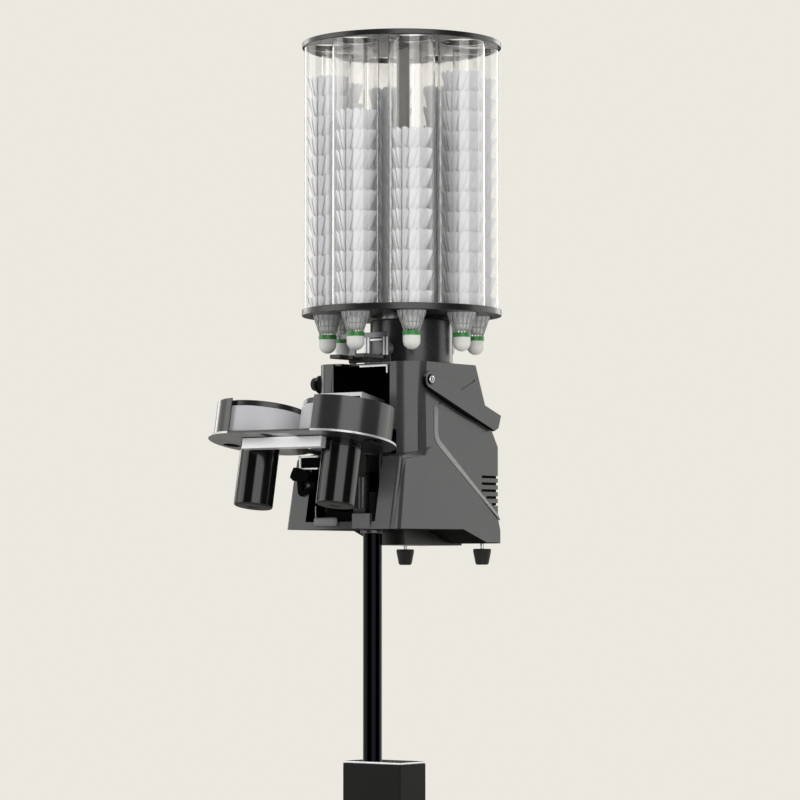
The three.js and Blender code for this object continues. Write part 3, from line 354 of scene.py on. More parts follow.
bpy.ops.mesh.primitive_circle_add(vertices=FLOOR_STEPS, radius=FLOOR_RADIUS, fill_type="NGON")
floor = bpy.context.active_object
floor.name = "floor"
floor_finish, tree, output = blank("pale_floor")
place = add(tree, "TexCoord")
reach = add(tree, "VectorMath", {0: place.outputs["Object"]}, operation="LENGTH")
fade = add(tree, "MapRange", {0: reach.outputs["Value"], 1: FLOOR_CLEAR_RADIUS, 2: FLOOR_RADIUS},
           interpolation_type="SMOOTHSTEP")
speck = add(tree, "TexNoise", {"Vector": place.outputs["Object"], "Scale": SPECKS_PER_METRE, "Detail": 4})
paint = add(tree, "Mix", {0: speck.outputs[0], 6: colour("#e2dfd7"), 7: colour(BACKDROP)}, data_type="RGBA")
matt = add(tree, "BsdfPrincipled", {"Base Color": paint.outputs[2], "Roughness": FLOOR_ROUGHNESS})
away = add(tree, "BsdfTransparent")
faded = add(tree, "MixShader", {0: fade.outputs[0], 1: matt.outputs[0], 2: away.outputs[0]})
tree.links.new(faded.outputs[0], output.inputs[0])
floor.data.materials.append(floor_finish)

# %% [markdown]
# Soft boxes are wide lamps that give wide, soft highlights. Three large ones stand round the machine, one
# hangs above it, and two narrow ones behind it draw its rims. They are unseen by the camera.

# %% Lamps
LAMP_AIM = Vector((0, 0, 1.1))
# Bearing in degrees, distance, height, width and length in metres, power in watts
LAMPS = {
    "key_box": (137, 3.2, 1.6, 2.3, 3.0, 36),
    "front_box": (39, 3.4, 1.5, 2.9, 2.8, 52),
    "rear_box": (-56, 3.3, 1.6, 2.6, 3.0, 24),
    "top_box": (52, 3.0, 3.9, 3.0, 2.0, 34),
    "left_rim": (196, 3.0, 1.9, 0.9, 1.4, 13),
    "right_rim": (268, 3.0, 1.9, 0.9, 1.4, 13),
}


def lamp(name, bearing, distance, height, width, length, power):
    """A soft box. Its bearing is in degrees from +X towards the front, -Y."""
    angle = math.radians(bearing)
    spot = Vector((distance * math.cos(angle), -distance * math.sin(angle), height))
    bpy.ops.object.light_add(type="AREA", location=spot)
    box = bpy.context.active_object
    box.name = name
    box.rotation_euler = (LAMP_AIM - spot).to_track_quat("-Z", "Y").to_euler()
    box.data.shape = "RECTANGLE"
    box.data.size = width
    box.data.size_y = length
    box.data.energy = power
    box.visible_camera = False
    box.visible_transmission = False


for name, values in LAMPS.items():
    lamp(name, *values)
print("lamps:", ", ".join(LAMPS))

# %% [markdown]
# Dark cards stand round the set, as they do in a real studio, because gloss only shows when it has something
# dark to reflect beside the lamps. A card is one upright edge, spun through part of a turn.

# %% Cards
CARD_RADIUS = 3.8
CARD_HEIGHT = 4.2
CARD_STEPS = 12
CARD_BEARINGS = {"front_card": (64, 114), "side_card": (-34, 12), "rear_card": (214, 250)}
black_felt = surface("black_felt", "#050505", "#050505", 0.9, grain=20 * MM)


def card(name, first_bearing, last_bearing):
    """A curved card round the set, made by spinning one upright edge."""
    bpy.ops.mesh.primitive_plane_add(size=1)
    made = bpy.context.active_object
    made.name = name
    bpy.ops.object.mode_set(mode="EDIT")
    bpy.ops.mesh.merge(type="CENTER")
    angle = -math.radians(first_bearing)
    start = (CARD_RADIUS * math.cos(angle), CARD_RADIUS * math.sin(angle), 0)
    bpy.ops.transform.translate(value=start)
    bpy.ops.mesh.extrude_vertices_move(TRANSFORM_OT_translate={"value": (0, 0, CARD_HEIGHT)})
    bpy.ops.mesh.select_all(action="SELECT")
    sweep = math.radians(last_bearing - first_bearing)
    bpy.ops.mesh.spin(steps=CARD_STEPS, angle=sweep, center=(0, 0, 0), axis=(0, 0, 1))
    bpy.ops.object.mode_set(mode="OBJECT")
    made.data.materials.append(black_felt)
    made.visible_camera = False
    made.visible_transmission = False


for name, bearings in CARD_BEARINGS.items():
    card(name, *bearings)
print("cards:", ", ".join(CARD_BEARINGS))


# %% [markdown]
# ## Modelling helpers
# A turned piece is half a profile spun round an axis: one corner is extruded from point to point, and the
# line is spun. A plate is its outline, pulled up to its thickness. Both start from a primitive, as by hand,
# and everything that was selected before is deselected first, because an operator acts on all of it.

# %% Naming and cleaning
def only(obj):
    """Selects one object and nothing else."""
    bpy.ops.object.select_all(action="DESELECT")
    obj.select_set(True)
    bpy.context.view_layer.objects.active = obj


def named(name):
    """Names the active object and puts its place into its mesh."""
    obj = bpy.context.active_object
    obj.name = name
    obj.data.name = name
    only(obj)
    bpy.ops.object.transform_apply(location=True, rotation=True, scale=True)
    return obj


def cleaned(obj):
    """Merges doubles and turns every face outwards."""
    only(obj)
    bpy.ops.object.mode_set(mode="EDIT")
    bpy.ops.mesh.select_all(action="SELECT")
    bpy.ops.mesh.remove_doubles(threshold=MERGE_DISTANCE)
    bpy.ops.mesh.dissolve_degenerate(threshold=MERGE_DISTANCE)
    bpy.ops.mesh.normals_make_consistent(inside=False)
    bpy.ops.object.mode_set(mode="OBJECT")
    return obj


# %% Profiles
def closed(profile):
    """A profile whose last point is its first, for a ring."""
    return [*profile, profile[0]]


def quarter(steps):
    """The angles of a quarter turn."""
    return [math.pi / 2 * i / steps for i in range(steps + 1)]


def round_out(radius, end, corner_radius, rise=1, steps=4):
    """A rounded corner from an end face out to the wall, which then goes up where rise is 1, down at -1."""
    return [
        (radius - corner_radius * (1 - math.sin(a)), end + rise * corner_radius * (1 - math.cos(a)))
        for a in quarter(steps)]


def rounded(corner_radius, radius, low, high):
    """A bar's profile from the axis out, with both its rims rounded."""
    lower = round_out(radius, low, corner_radius)
    upper = round_out(radius, high, corner_radius, -1)
    return [(0, low), *lower, *reversed(upper), (0, high)]


# %% Turned pieces
FINE_STEPS = 96


def spun(name, profile, centre=(0, 0), steps=FINE_STEPS, first=0, sweep=FULL_TURN):
    """A profile of (radius, height) points spun about the upright line through centre."""
    bpy.ops.object.select_all(action="DESELECT")
    angle = math.radians(first)
    points = [
        Vector((centre[0] + r * math.cos(angle), centre[1] + r * math.sin(angle), z)) for r, z in profile]
    bpy.ops.mesh.primitive_plane_add(size=1, location=points[0])
    bpy.ops.object.mode_set(mode="EDIT")
    bpy.ops.mesh.merge(type="CENTER")
    for before, after in zip(points, points[1:]):
        bpy.ops.mesh.extrude_vertices_move(TRANSFORM_OT_translate={"value": after - before})
    bpy.ops.mesh.select_all(action="SELECT")
    bpy.ops.mesh.spin(steps=steps, angle=-math.radians(sweep), center=(*centre, 0), axis=(0, 0, 1))
    if sweep < FULL_TURN:
        bpy.ops.mesh.select_all(action="SELECT")
        bpy.ops.mesh.remove_doubles(threshold=MERGE_DISTANCE)
        bpy.ops.mesh.select_all(action="DESELECT")
        bpy.ops.mesh.select_non_manifold()
        bpy.ops.mesh.fill_holes(sides=0)
    bpy.ops.object.mode_set(mode="OBJECT")
    return cleaned(named(name))


# %% Plates, blocks and cylinders
def plate(name, outline, low, high, facing="Z"):
    """An outline pulled from low to high along the axis that it faces. It is drawn in the other two axes."""
    order = {"Z": (0, 1, 2), "Y": (0, 2, 1), "X": (2, 0, 1)}[facing]
    bpy.ops.object.select_all(action="DESELECT")
    bpy.ops.mesh.primitive_circle_add(vertices=len(outline), radius=1, fill_type="NGON")
    obj = bpy.context.active_object
    for corner, (u, v) in zip(obj.data.vertices, outline):
        corner.co = [(u, v, low)[i] for i in order]
    bpy.ops.object.mode_set(mode="EDIT")
    bpy.ops.mesh.select_all(action="SELECT")
    pull = [(0, 0, high - low)[i] for i in order]
    bpy.ops.mesh.extrude_region_move(TRANSFORM_OT_translate={"value": pull})
    bpy.ops.object.mode_set(mode="OBJECT")
    return cleaned(named(name))


def block(name, low, high):
    """A box from its lowest to its highest corner."""
    low, high = Vector(low), Vector(high)
    bpy.ops.object.select_all(action="DESELECT")
    bpy.ops.mesh.primitive_cube_add(size=1, location=(low + high) / 2)
    bpy.context.active_object.scale = high - low
    return named(name)


def cylinder(name, radius, centre, bottom, top, sides=64):
    """An upright cylinder about centre, from bottom to top."""
    bpy.ops.object.select_all(action="DESELECT")
    bpy.ops.mesh.primitive_cylinder_add(
        vertices=sides, radius=radius, depth=top - bottom, location=(*centre, (bottom + top) / 2))
    return named(name)


# %% [markdown]
# A modifier that is applied becomes plain mesh, which any program can read. Edges are rounded with Bevel,
# holes are cut with Boolean, and pieces are joined, copied and moved by a function each.

# %% Modifiers, copies and moves
EDGE_ANGLE = 30
FLAT_ANGLE = 0.5


def with_modifier(obj, kind, **settings):
    """Adds a modifier, sets it and applies it."""
    only(obj)
    bpy.ops.object.modifier_add(type=kind)
    modifier = obj.modifiers[-1]
    for key, value in settings.items():
        setattr(modifier, key, value)
    bpy.ops.object.modifier_apply(modifier=modifier.name)
    return obj


def edged(obj, width, segments=2, angle=EDGE_ANGLE):
    """Rounds the sharp edges, so that they catch the light."""
    return with_modifier(
        obj, "BEVEL", width=width, segments=segments, limit_method="ANGLE", angle_limit=math.radians(angle))


def carved(obj, *tools, operation="DIFFERENCE"):
    """Cuts the tools out of obj, or joins them to it, and removes them."""
    for tool in tools:
        with_modifier(obj, "BOOLEAN", object=tool, operation=operation, solver="EXACT")
        bpy.data.objects.remove(tool)
    return obj


def copied(node, name):
    """A copy of a CAD node's mesh as a new piece, its loose triangles merged into whole faces."""
    obj = bpy.data.objects.new(name, nodes[node].data.copy())
    obj.data.name = name
    obj.data.materials.clear()
    scene.collection.objects.link(obj)
    only(obj)
    bpy.ops.object.mode_set(mode="EDIT")
    bpy.ops.mesh.select_all(action="SELECT")
    bpy.ops.mesh.remove_doubles(threshold=COPY_MERGE_DISTANCE)
    bpy.ops.mesh.dissolve_limited(angle_limit=math.radians(FLAT_ANGLE))
    bpy.ops.object.mode_set(mode="OBJECT")
    return obj


def twin(master, name):
    """A copy of a piece that is made here, with a mesh of its own."""
    obj = master.copy()
    obj.data = master.data.copy()
    obj.name = name
    scene.collection.objects.link(obj)
    return obj


def joined(name, *parts):
    """Several meshes as one piece."""
    only(parts[0])
    for part in parts:
        part.select_set(True)
    bpy.ops.object.join()
    parts[0].name = name
    parts[0].data.name = name
    return parts[0]


def moved(obj, matrix):
    """Puts a whole piece through a matrix."""
    only(obj)
    obj.matrix_world = matrix
    bpy.ops.object.transform_apply(location=True, rotation=True, scale=True)
    return obj


# %% [markdown]
# Last comes what every piece needs: smooth shading that stops at sharp edges, normals weighted by face area
# so that flat faces stay flat, its finish, its moving body, and the frame's parts that it stands for.

# %% Finishing a piece
SMOOTH_ANGLE = 35
MANY_FACES = 20000


def two_tone(obj, first, second, is_second):
    """Gives a piece two finishes. Its faces for which is_second holds get the second one."""
    obj.data.materials.append(first)
    obj.data.materials.append(second)
    for face in obj.data.polygons:
        face.material_index = int(is_second(face))


def finished(obj, body, slot, material=None, stands_for=()):
    """Shades a piece, gives it its finish and its body, and says what it measures."""
    only(obj)
    bpy.ops.object.shade_smooth_by_angle(angle=math.radians(SMOOTH_ANGLE))
    if len(obj.data.polygons) < MANY_FACES:
        with_modifier(obj, "WEIGHTED_NORMAL", keep_sharp=True)
    if material:
        obj.data.materials.clear()
        obj.data.materials.append(material)
    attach(obj, body)
    if stands_for:
        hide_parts(*stands_for)
    size = [round(side / MM, 1) for side in obj.dimensions]
    print(obj.name, "on", body, "is", size, "mm with", len(obj.data.polygons), "faces")
    return obj


def trimmed(node, body, slot, material, edge, segments):
    """A CAD node's own shape with its edges rounded, standing for the node."""
    obj = edged(copied(node, node + "_finished"), edge, segments)
    return finished(obj, body, slot, material, [node])


# %% [markdown]
# ## The stand
# The foot is a heavy powder-coated plate with rounded edges, and a square column with a steel collar stands
# on it. The frame has their true shapes, so a copy only gets its edges broken, as a file would leave them.

# %% Base plate, column and collar
# Node, body, slot, finish, edge radius and the steps of the edge
STAND_PIECES = [
    ("base_plate", "stand", "black_steel", powder_coat, 2.5 * MM, 3),
    ("lift_column", "stand", "black_plastic", column_abs, 1.2 * MM, 3),
    ("column_collar", "stand", "bright_steel", turned_steel, 0.7 * MM, 2),
]
for values in STAND_PIECES:
    trimmed(*values)

# %% [markdown]
# The pole is a drawn tube in black chrome that slides in the column. It is spun from its profile, with a
# collar of satin steel where the head sits, and the collar's faces get their own finish by their height.

# %% Pole
POLE_RADIUS = 14 * MM
POLE_TIP_ROUND = 0.8 * MM
COLLAR_HEIGHT = 4.7 * MM
SPIGOT_RADIUS = 8 * MM

pole_low, pole_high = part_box("lift_pole")
collar_radius = pole_high.x
collar_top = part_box("pan_bearing")[0].z - SEAT_GAP
collar_low = collar_top - COLLAR_HEIGHT
pole = spun("lift_pole_chromed", [
    (0, pole_low.z), (POLE_RADIUS - POLE_TIP_ROUND, pole_low.z), (POLE_RADIUS, pole_low.z + POLE_TIP_ROUND),
    (POLE_RADIUS, collar_low), (collar_radius - POLE_TIP_ROUND, collar_low),
    (collar_radius, collar_low + POLE_TIP_ROUND), (collar_radius, collar_top - POLE_TIP_ROUND),
    (collar_radius - POLE_TIP_ROUND, collar_top), (SPIGOT_RADIUS, collar_top), (SPIGOT_RADIUS, pole_high.z),
    (0, pole_high.z),
])
two_tone(pole, dark_chrome, satin_steel, lambda face: face.center.z > collar_low - POLE_TIP_ROUND / 2)
finished(pole, "lift", "pole_chrome", stands_for=["lift_pole"])

# %% [markdown]
# ## The carousel
# Two black discs hold eight clear tubes. A disc is turned with rounded rims, and the mouths of the tubes are
# then cut through it, as a router would.

# %% Discs
TUBES = 8
TUBE_WALL = 1.5 * MM
DISC_EDGE = 1.2 * MM
DISC_STEPS = 160
CORK_HOLE_RADIUS = 26.2 * MM

tube_centres = [middle(f"clear_tube_{i + 1}") for i in range(TUBES)]
tube_low, tube_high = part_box("clear_tube_1")
tube_radius = (tube_high.x - tube_low.x) / 2


def disc(node, hole_radius, name):
    """A disc of the carousel with a hole below or above each tube."""
    low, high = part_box(node)
    profile = rounded(DISC_EDGE, (high.x - low.x) / 2, low.z, high.z)
    body = spun(name, profile, carousel_axis.xy, DISC_STEPS)
    bottom, top = low.z - tube_radius / 2, high.z + tube_radius / 2
    cutters = [
        cylinder(f"{name}_cutter_{i}", hole_radius, place.xy, bottom, top)
        for i, place in enumerate(tube_centres)]
    carved(body, *cutters)
    return finished(body, "carousel", "black_plastic", disc_abs, [node])


disc("carousel_bottom_disc", CORK_HOLE_RADIUS, "bottom_disc")
disc("carousel_top_disc", tube_radius - TUBE_WALL, "top_disc")

# %% [markdown]
# A turned post keeps the discs apart. Its ends step down to spindles, which pass through the discs.

# %% Post
POST_RADIUS = 12 * MM
SPINDLE_RADIUS = 8 * MM
POST_EDGE = 0.6 * MM
POST_STEPS = 48

post_low, post_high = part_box("carousel_post")
post_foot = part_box("carousel_bottom_disc")[1].z + SEAT_GAP
post_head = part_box("carousel_top_disc")[0].z - SEAT_GAP
post = spun("carousel_post_turned", [
    (0, post_low.z), (SPINDLE_RADIUS, post_low.z), (SPINDLE_RADIUS, post_foot), (POST_RADIUS, post_foot),
    (POST_RADIUS, post_head), (SPINDLE_RADIUS, post_head), (SPINDLE_RADIUS, post_high.z), (0, post_high.z),
], carousel_axis.xy, POST_STEPS)
finished(edged(post, POST_EDGE), "carousel", "black_steel", powder_coat, ["carousel_post"])

# %% [markdown]
# The tubes are all alike, so one wall is spun round the origin and the others are its copies. Each copy has a
# mesh of its own, because a piece's place is kept in its mesh.

# %% Clear tubes
TUBE_EDGE = 0.4 * MM
TUBE_STEPS = 72

tube_master = spun("clear_tube_master", closed([
    (tube_radius - TUBE_WALL, tube_low.z), (tube_radius, tube_low.z),
    (tube_radius, tube_high.z), (tube_radius - TUBE_WALL, tube_high.z),
]), steps=TUBE_STEPS)
edged(tube_master, TUBE_EDGE)
for i, place in enumerate(tube_centres):
    tube = twin(tube_master, f"tube_{i + 1}_clear")
    moved(tube, Matrix.Translation((place.x, place.y, 0)))
    finished(tube, "carousel", "clear_tube", clear_tube_finish, [f"clear_tube_{i + 1}"])
bpy.data.objects.remove(tube_master)

# %% [markdown]
# ## The shuttlecocks
# These are nylon shuttlecocks: a round cork skinned in white leather, a green band for medium speed, a net of
# sixteen ribs and three rings, and sixteen vanes that overlap like a pinwheel. The net and the vanes lie on a
# cone, and one function says how wide that cone is at each height.

# %% Sizes of a shuttlecock
VANES = 16
CORK_RADIUS = 13 * MM
CORK_LENGTH = 27.5 * MM
SKIRT_RADIUS = 33 * MM
SHUTTLE_LENGTH = 86 * MM
SHUTTLE_PITCH = 30 * MM
VANE_START = 46 * MM
VANE_TILT = 1.7 * MM
VANE_CROWN = 0.7 * MM
SKIRT_SLOPE = (SKIRT_RADIUS - CORK_RADIUS) / (SHUTTLE_LENGTH - CORK_LENGTH)


def skirt_radius(height):
    """How wide the skirt is at a height above the cork's tip."""
    return CORK_RADIUS + (height - CORK_LENGTH) * SKIRT_SLOPE - VANE_TILT - VANE_CROWN


def set_round(obj, copies):
    """Sets copies of a mesh round the upright axis."""
    only(obj)
    bpy.ops.object.mode_set(mode="EDIT")
    bpy.ops.mesh.select_all(action="SELECT")
    bpy.ops.mesh.spin(steps=copies, angle=2 * math.pi, dupli=True, center=(0, 0, 0), axis=(0, 0, 1))
    bpy.ops.object.mode_set(mode="OBJECT")
    return cleaned(obj)


# %% [markdown]
# A vane is a small grid, bent by a formula: its tip is rounded, its root is notched, it leans over its
# neighbour and it twists a little. Solidify gives it a thickness, and the spin operator sets its copies
# round the axis.

# %% Vanes
VANE_NOTCH = 5 * MM
VANE_TWIST = 0.3
VANE_THICKNESS = 0.5 * MM
TIP_DROP = 4.6 * MM
OVERLAP_SHARE = 1.22
ROOT_LEAN_SHARE = 0.4
ROOT_WIDTH_SHARE = 0.82


def vane_ring():
    """All the vanes, as one mesh."""
    bpy.ops.object.select_all(action="DESELECT")
    bpy.ops.mesh.primitive_grid_add(x_subdivisions=5, y_subdivisions=6, size=2)
    obj = named("vane")
    half_turn = math.pi / VANES * OVERLAP_SHARE
    for corner in obj.data.vertices:
        side, rise = corner.co.x, (corner.co.y + 1) / 2
        tip = SHUTTLE_LENGTH - TIP_DROP * side * side
        root = VANE_START + VANE_NOTCH * abs(side)
        height = root + (tip - root) * rise
        lean = VANE_TILT * side * (ROOT_LEAN_SHARE + (1 - ROOT_LEAN_SHARE) * rise)
        radius = skirt_radius(height) + lean + VANE_CROWN * (1 - side * side)
        width = ROOT_WIDTH_SHARE + (1 - ROOT_WIDTH_SHARE) * rise
        angle = side * half_turn * width + VANE_TWIST * rise
        corner.co = (radius * math.cos(angle), radius * math.sin(angle), height)
    with_modifier(obj, "SOLIDIFY", thickness=VANE_THICKNESS, offset=-1)
    return set_round(obj, VANES)


# %% [markdown]
# A rib is a thin bar that leans out with the cone and widens towards the vanes. The rings that tie the ribs
# are tori with few faces, because there are hundreds of them.

# %% Net
RIB_WIDTH = 1.5 * MM
RIB_THICKNESS = 0.9 * MM
RIB_FOOT = 1.5 * MM
RIB_OVERLAP = 9 * MM
RIB_INSET = 2 * MM
RIB_FOOT_SHARE = 0.7
RIB_SPREAD_SHARE = 0.9
RING_THICKNESS = 0.55 * MM
RING_HEIGHTS = [32 * MM, 40.5 * MM, 51 * MM]


def rib_ring():
    """All the ribs, as one mesh."""
    low, high = CORK_LENGTH - RIB_FOOT, VANE_START + RIB_OVERLAP
    rise = high - low
    half_width, half_depth = RIB_WIDTH / 2, RIB_THICKNESS / 2
    obj = block("rib", (-half_depth, -half_width, low), (half_depth, half_width, high))
    for corner in obj.data.vertices:
        share = (corner.co.z - low) / rise
        corner.co.x += CORK_RADIUS - RIB_INSET + rise * SKIRT_SLOPE * share
        corner.co.y *= RIB_FOOT_SHARE + RIB_SPREAD_SHARE * share
    return set_round(obj, VANES)


def net_ring(height):
    """One ring of the net."""
    bpy.ops.object.select_all(action="DESELECT")
    bpy.ops.mesh.primitive_torus_add(
        location=(0, 0, height), major_radius=skirt_radius(height), minor_radius=RING_THICKNESS,
        major_segments=32, minor_segments=4)
    return named("net_ring")


# %% [markdown]
# The cork is spun with a half-round tip, and the band is a thin ring round its upper end. Joined with the
# vanes and the net they make one shuttlecock.

# %% The whole shuttlecock
CORK_STEPS = 8
SHUTTLE_STEPS = 28
CORK_TAPER = 1.5 * MM
CORK_SINK = 0.5 * MM
BAND_HEIGHT = 6.5 * MM
BAND_INSET = 1.2 * MM
BAND_RISE = 0.3 * MM

band_low = CORK_LENGTH - BAND_HEIGHT
cork = spun("cork", [
    *round_out(CORK_RADIUS, 0, CORK_RADIUS, steps=CORK_STEPS),
    (CORK_RADIUS, band_low), (CORK_RADIUS - CORK_TAPER, CORK_LENGTH - CORK_SINK),
    (0, CORK_LENGTH - CORK_SINK),
], steps=SHUTTLE_STEPS)
cork.data.materials.append(shuttle_cork)
band = spun("band", closed([
    (CORK_RADIUS - BAND_INSET, band_low), (CORK_RADIUS + BAND_RISE, band_low),
    (CORK_RADIUS + BAND_RISE, CORK_LENGTH), (CORK_RADIUS - BAND_INSET, CORK_LENGTH),
]), steps=SHUTTLE_STEPS)
band.data.materials.append(shuttle_band)
vanes = vane_ring()
vanes.data.materials.append(shuttle_nylon)
net = joined("net", rib_ring(), *[net_ring(height) for height in RING_HEIGHTS])
net.data.materials.append(net_painted_shade_nylon)
shuttle = joined("shuttle_master", cork, band, vanes, net)
print("one shuttlecock has", len(shuttle.data.polygons), "faces")

# %% [markdown]
# In a tube each shuttlecock nests in the one below. The frame's stack says how high each tube is filled, and
# so how many there are.

# %% The stacks
for i, place in enumerate(tube_centres):
    low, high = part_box(f"shuttle_stack_{i + 1}")
    count = round((high.z - low.z - SHUTTLE_LENGTH) / SHUTTLE_PITCH) + 1
    stack = []
    for level in range(count):
        one = twin(shuttle, f"shuttle_{i + 1}_{level + 1}")
        stack.append(moved(one, Matrix.Translation((place.x, place.y, low.z + level * SHUTTLE_PITCH))))
    whole = joined(f"shuttlecocks_{i + 1}", *stack)
    finished(whole, "carousel", "feather", stands_for=[f"shuttle_stack_{i + 1}"])
bpy.data.objects.remove(shuttle)

# %% [markdown]
# ## The housing
# Two moulded halves meet in a thin seam down the middle. The frame already has their form, so each half is a
# copy of it. Its skirt is first squared at the bottom, and then its long outer corners get a large, soft
# radius and its other edges a small one.

# %% Shaping a half
SOFT_STEPS = 12
UPRIGHT_SHARE = 0.96
LONG_EDGE = 60 * MM
CORNER_REACH = 1.2 * MM
UPPER_WALL = 97 * MM
SKIRT_LEAN = 8 * MM
SKIRT_HEIGHT = 135 * MM
SKIRT_BASE = 784 * MM
SKIRT_BEVEL = 6.8 * MM
SKIRT_EDGE = 8.8 * MM


def lean_at(height):
    """How far the skirt stands out of the upper housing at a height."""
    return max(SKIRT_LEAN * (1 - (height - SKIRT_BASE) / SKIRT_HEIGHT), 0)


def squared(obj):
    """Brings the skirt's outer faces down to its lowest edge, because the real skirt ends in a crisp edge."""
    for corner in obj.data.vertices:
        spot = corner.co
        if abs(spot.x) > UPPER_WALL + SKIRT_BEVEL and spot.z < SKIRT_BASE + SKIRT_EDGE:
            spot.z -= SKIRT_BEVEL
            spot.x = math.copysign(UPPER_WALL + lean_at(spot.z), spot.x)


def near_spot(centre, spots):
    """True where an edge's middle lies near one of the places in plan. X counts on both sides."""
    return any(math.hypot(abs(centre.x) - x, centre.y - y) < CORNER_REACH for x, y in spots)


def soft_corners(obj, width, spots):
    """Rounds the long, nearly upright outer corners near some places with a large radius."""
    only(obj)
    bpy.ops.object.mode_set(mode="EDIT")
    bpy.ops.mesh.select_mode(type="EDGE")
    bpy.ops.mesh.select_all(action="DESELECT")
    bpy.ops.object.mode_set(mode="OBJECT")
    for edge in obj.data.edges:
        a, b = (obj.data.vertices[i].co for i in edge.vertices)
        along = (b - a).normalized()
        upright = abs(along.z) > UPRIGHT_SHARE and (b - a).length > LONG_EDGE
        edge.select = bool(upright and near_spot((a + b) / 2, spots))
    print(obj.name, "has", sum(edge.select for edge in obj.data.edges), "soft corners")
    bpy.ops.object.mode_set(mode="EDIT")
    bpy.ops.mesh.bevel(offset=width, segments=SOFT_STEPS, affect="EDGES")
    bpy.ops.mesh.select_mode(type="VERT")
    bpy.ops.object.mode_set(mode="OBJECT")
    return obj


# %% [markdown]
# Large flat walls show every fault in their shading. Each one here gets a single flat normal of its own, and
# the narrow faces of the rounded edges beside it blend into it.

# %% Flat walls
LARGE_FACE = 600 * MM ** 2
BLEND_ANGLE = 50


def flattened(obj):
    """Gives each large face one flat normal, and lets the narrow faces of its rounded edges blend into it."""
    mesh = obj.data
    flats = {}
    for face in mesh.polygons:
        if face.area > LARGE_FACE:
            for corner in face.vertices:
                flats.setdefault(corner, []).append(face.normal.copy())
    normals = []
    for face in mesh.polygons:
        for i in face.loop_indices:
            near = flats.get(mesh.loops[i].vertex_index, [])
            near = [flat for flat in near if flat.angle(face.normal) < math.radians(BLEND_ANGLE)]
            if face.area > LARGE_FACE or not near:
                normals.append(face.normal.copy())
            else:
                normals.append(min(near, key=face.normal.angle))
    mesh.normals_split_custom_set(normals)
    return obj


# %% [markdown]
# The faces that look inwards or down get the black finish, painted shade for the dark inside the housing and
# under it. A face looks inwards where its normal points to the housing's middle.

# %% The two halves
SOFT_CORNER = 9 * MM
SKIRT_CORNER = 5 * MM
SMALL_EDGE = 0.8 * MM
UNDERSIDE = -0.5
HOUSING_HEART = Vector((0, 80, 900)) * MM
UPPER_CORNERS = [(97 * MM, -3 * MM), (73 * MM, -27 * MM)]
SKIRT_CORNERS = [(97 * MM, -69.5 * MM), (101.9 * MM, -61.8 * MM)]


def in_painted_shade(face):
    """True for a face that looks into the housing or down, which gets painted shade."""
    return face.normal.dot(face.center - HOUSING_HEART) < 0 or face.normal.z < UNDERSIDE


for side, _ in SIDES:
    half = copied(f"shell_{side}", f"housing_{side}")
    squared(half)
    soft_corners(half, SOFT_CORNER, UPPER_CORNERS)
    soft_corners(half, SKIRT_CORNER, SKIRT_CORNERS)
    edged(half, SMALL_EDGE)
    # The inward and downward faces get the black as painted shade
    two_tone(half, shell_abs, rubber_and_painted_shade, in_painted_shade)
    flattened(finished(half, "head", "grey_shell", stands_for=[f"shell_{side}"]))

# %% [markdown]
# A raised line runs down each side and catches the light, and its lighter grey is a painted highlight. It is
# a flat band that follows three points with an arc at the bend, and its lower side stands out with the
# leaning skirt.

# %% The light-catching lines
LINE_WIDTH = 9.6 * MM
LINE_RISE = 0.8 * MM
LINE_DEPTH = 2 * MM
LINE_BEND = 12 * MM
BEND_STEPS = 6
LINE_POINTS = [Vector((27.5, 967)) * MM, Vector((27.5, 917)) * MM, Vector((181, 803.5)) * MM]


def bent_line():
    """The line's points, with an arc for its middle corner."""
    before, corner, after = LINE_POINTS
    start = corner + (before - corner).normalized() * LINE_BEND
    end = corner + (after - corner).normalized() * LINE_BEND
    arc = []
    for i in range(BEND_STEPS + 1):
        t = i / BEND_STEPS
        arc.append(start * (1 - t) ** 2 + corner * 2 * t * (1 - t) + end * t ** 2)
    return [before, *arc, after]


def side_line(side, sign):
    """A flat band along the line, whose lower side follows the leaning skirt."""
    path_points = bent_line()
    upper, lower = [], []
    for i, point in enumerate(path_points):
        ahead = path_points[min(i + 1, len(path_points) - 1)]
        behind = path_points[max(i - 1, 0)]
        direction = (ahead - behind).normalized()
        across = Vector((-direction.y, direction.x)) * LINE_WIDTH / 2
        upper.append(point + across)
        lower.append(point - across)
    depths = sorted([sign * (UPPER_WALL - LINE_DEPTH), sign * (UPPER_WALL + LINE_RISE)])
    bar = plate(f"side_line_{side}", [*upper, *reversed(lower)], *depths, facing="X")
    for corner in bar.data.vertices:
        spot = Vector((corner.co.y, corner.co.z))
        if any((spot - point).length < LINE_RISE / 4 for point in lower):
            corner.co.x += sign * lean_at(spot.y)
    edged(bar, LINE_RISE / 2)
    # Its lighter grey is a painted highlight
    return finished(bar, "head", "grey_shell", ridge_painted_highlight)


for side, sign in SIDES:
    side_line(side, sign)

# %% [markdown]
# ## Vents and feet
# Behind the vents sits a black slab that keeps them dark: painted shade for the dark inside of the housing.

# %% Painted shade behind the vents
VENT_SHADE_EDGE = 1.5 * MM
VENT_SHADES = {
    "left": (Vector((-95.6, 157, 822)) * MM, Vector((-68, 181.4, 876)) * MM),
    "right": (Vector((60, 136, 822)) * MM, Vector((95.6, 181.4, 876)) * MM),
}
for side, (low, high) in VENT_SHADES.items():
    slab = block(f"vent_shade_{side}", low, high)
    finished(edged(slab, VENT_SHADE_EDGE), "head", "black_plastic", rubber_and_painted_shade)

# %% [markdown]
# Each foot is a moulded rubber cone with a lip at both ends, screwed on with a steel stem. Rubber and stem
# are one profile, and the stem's faces get the steel.

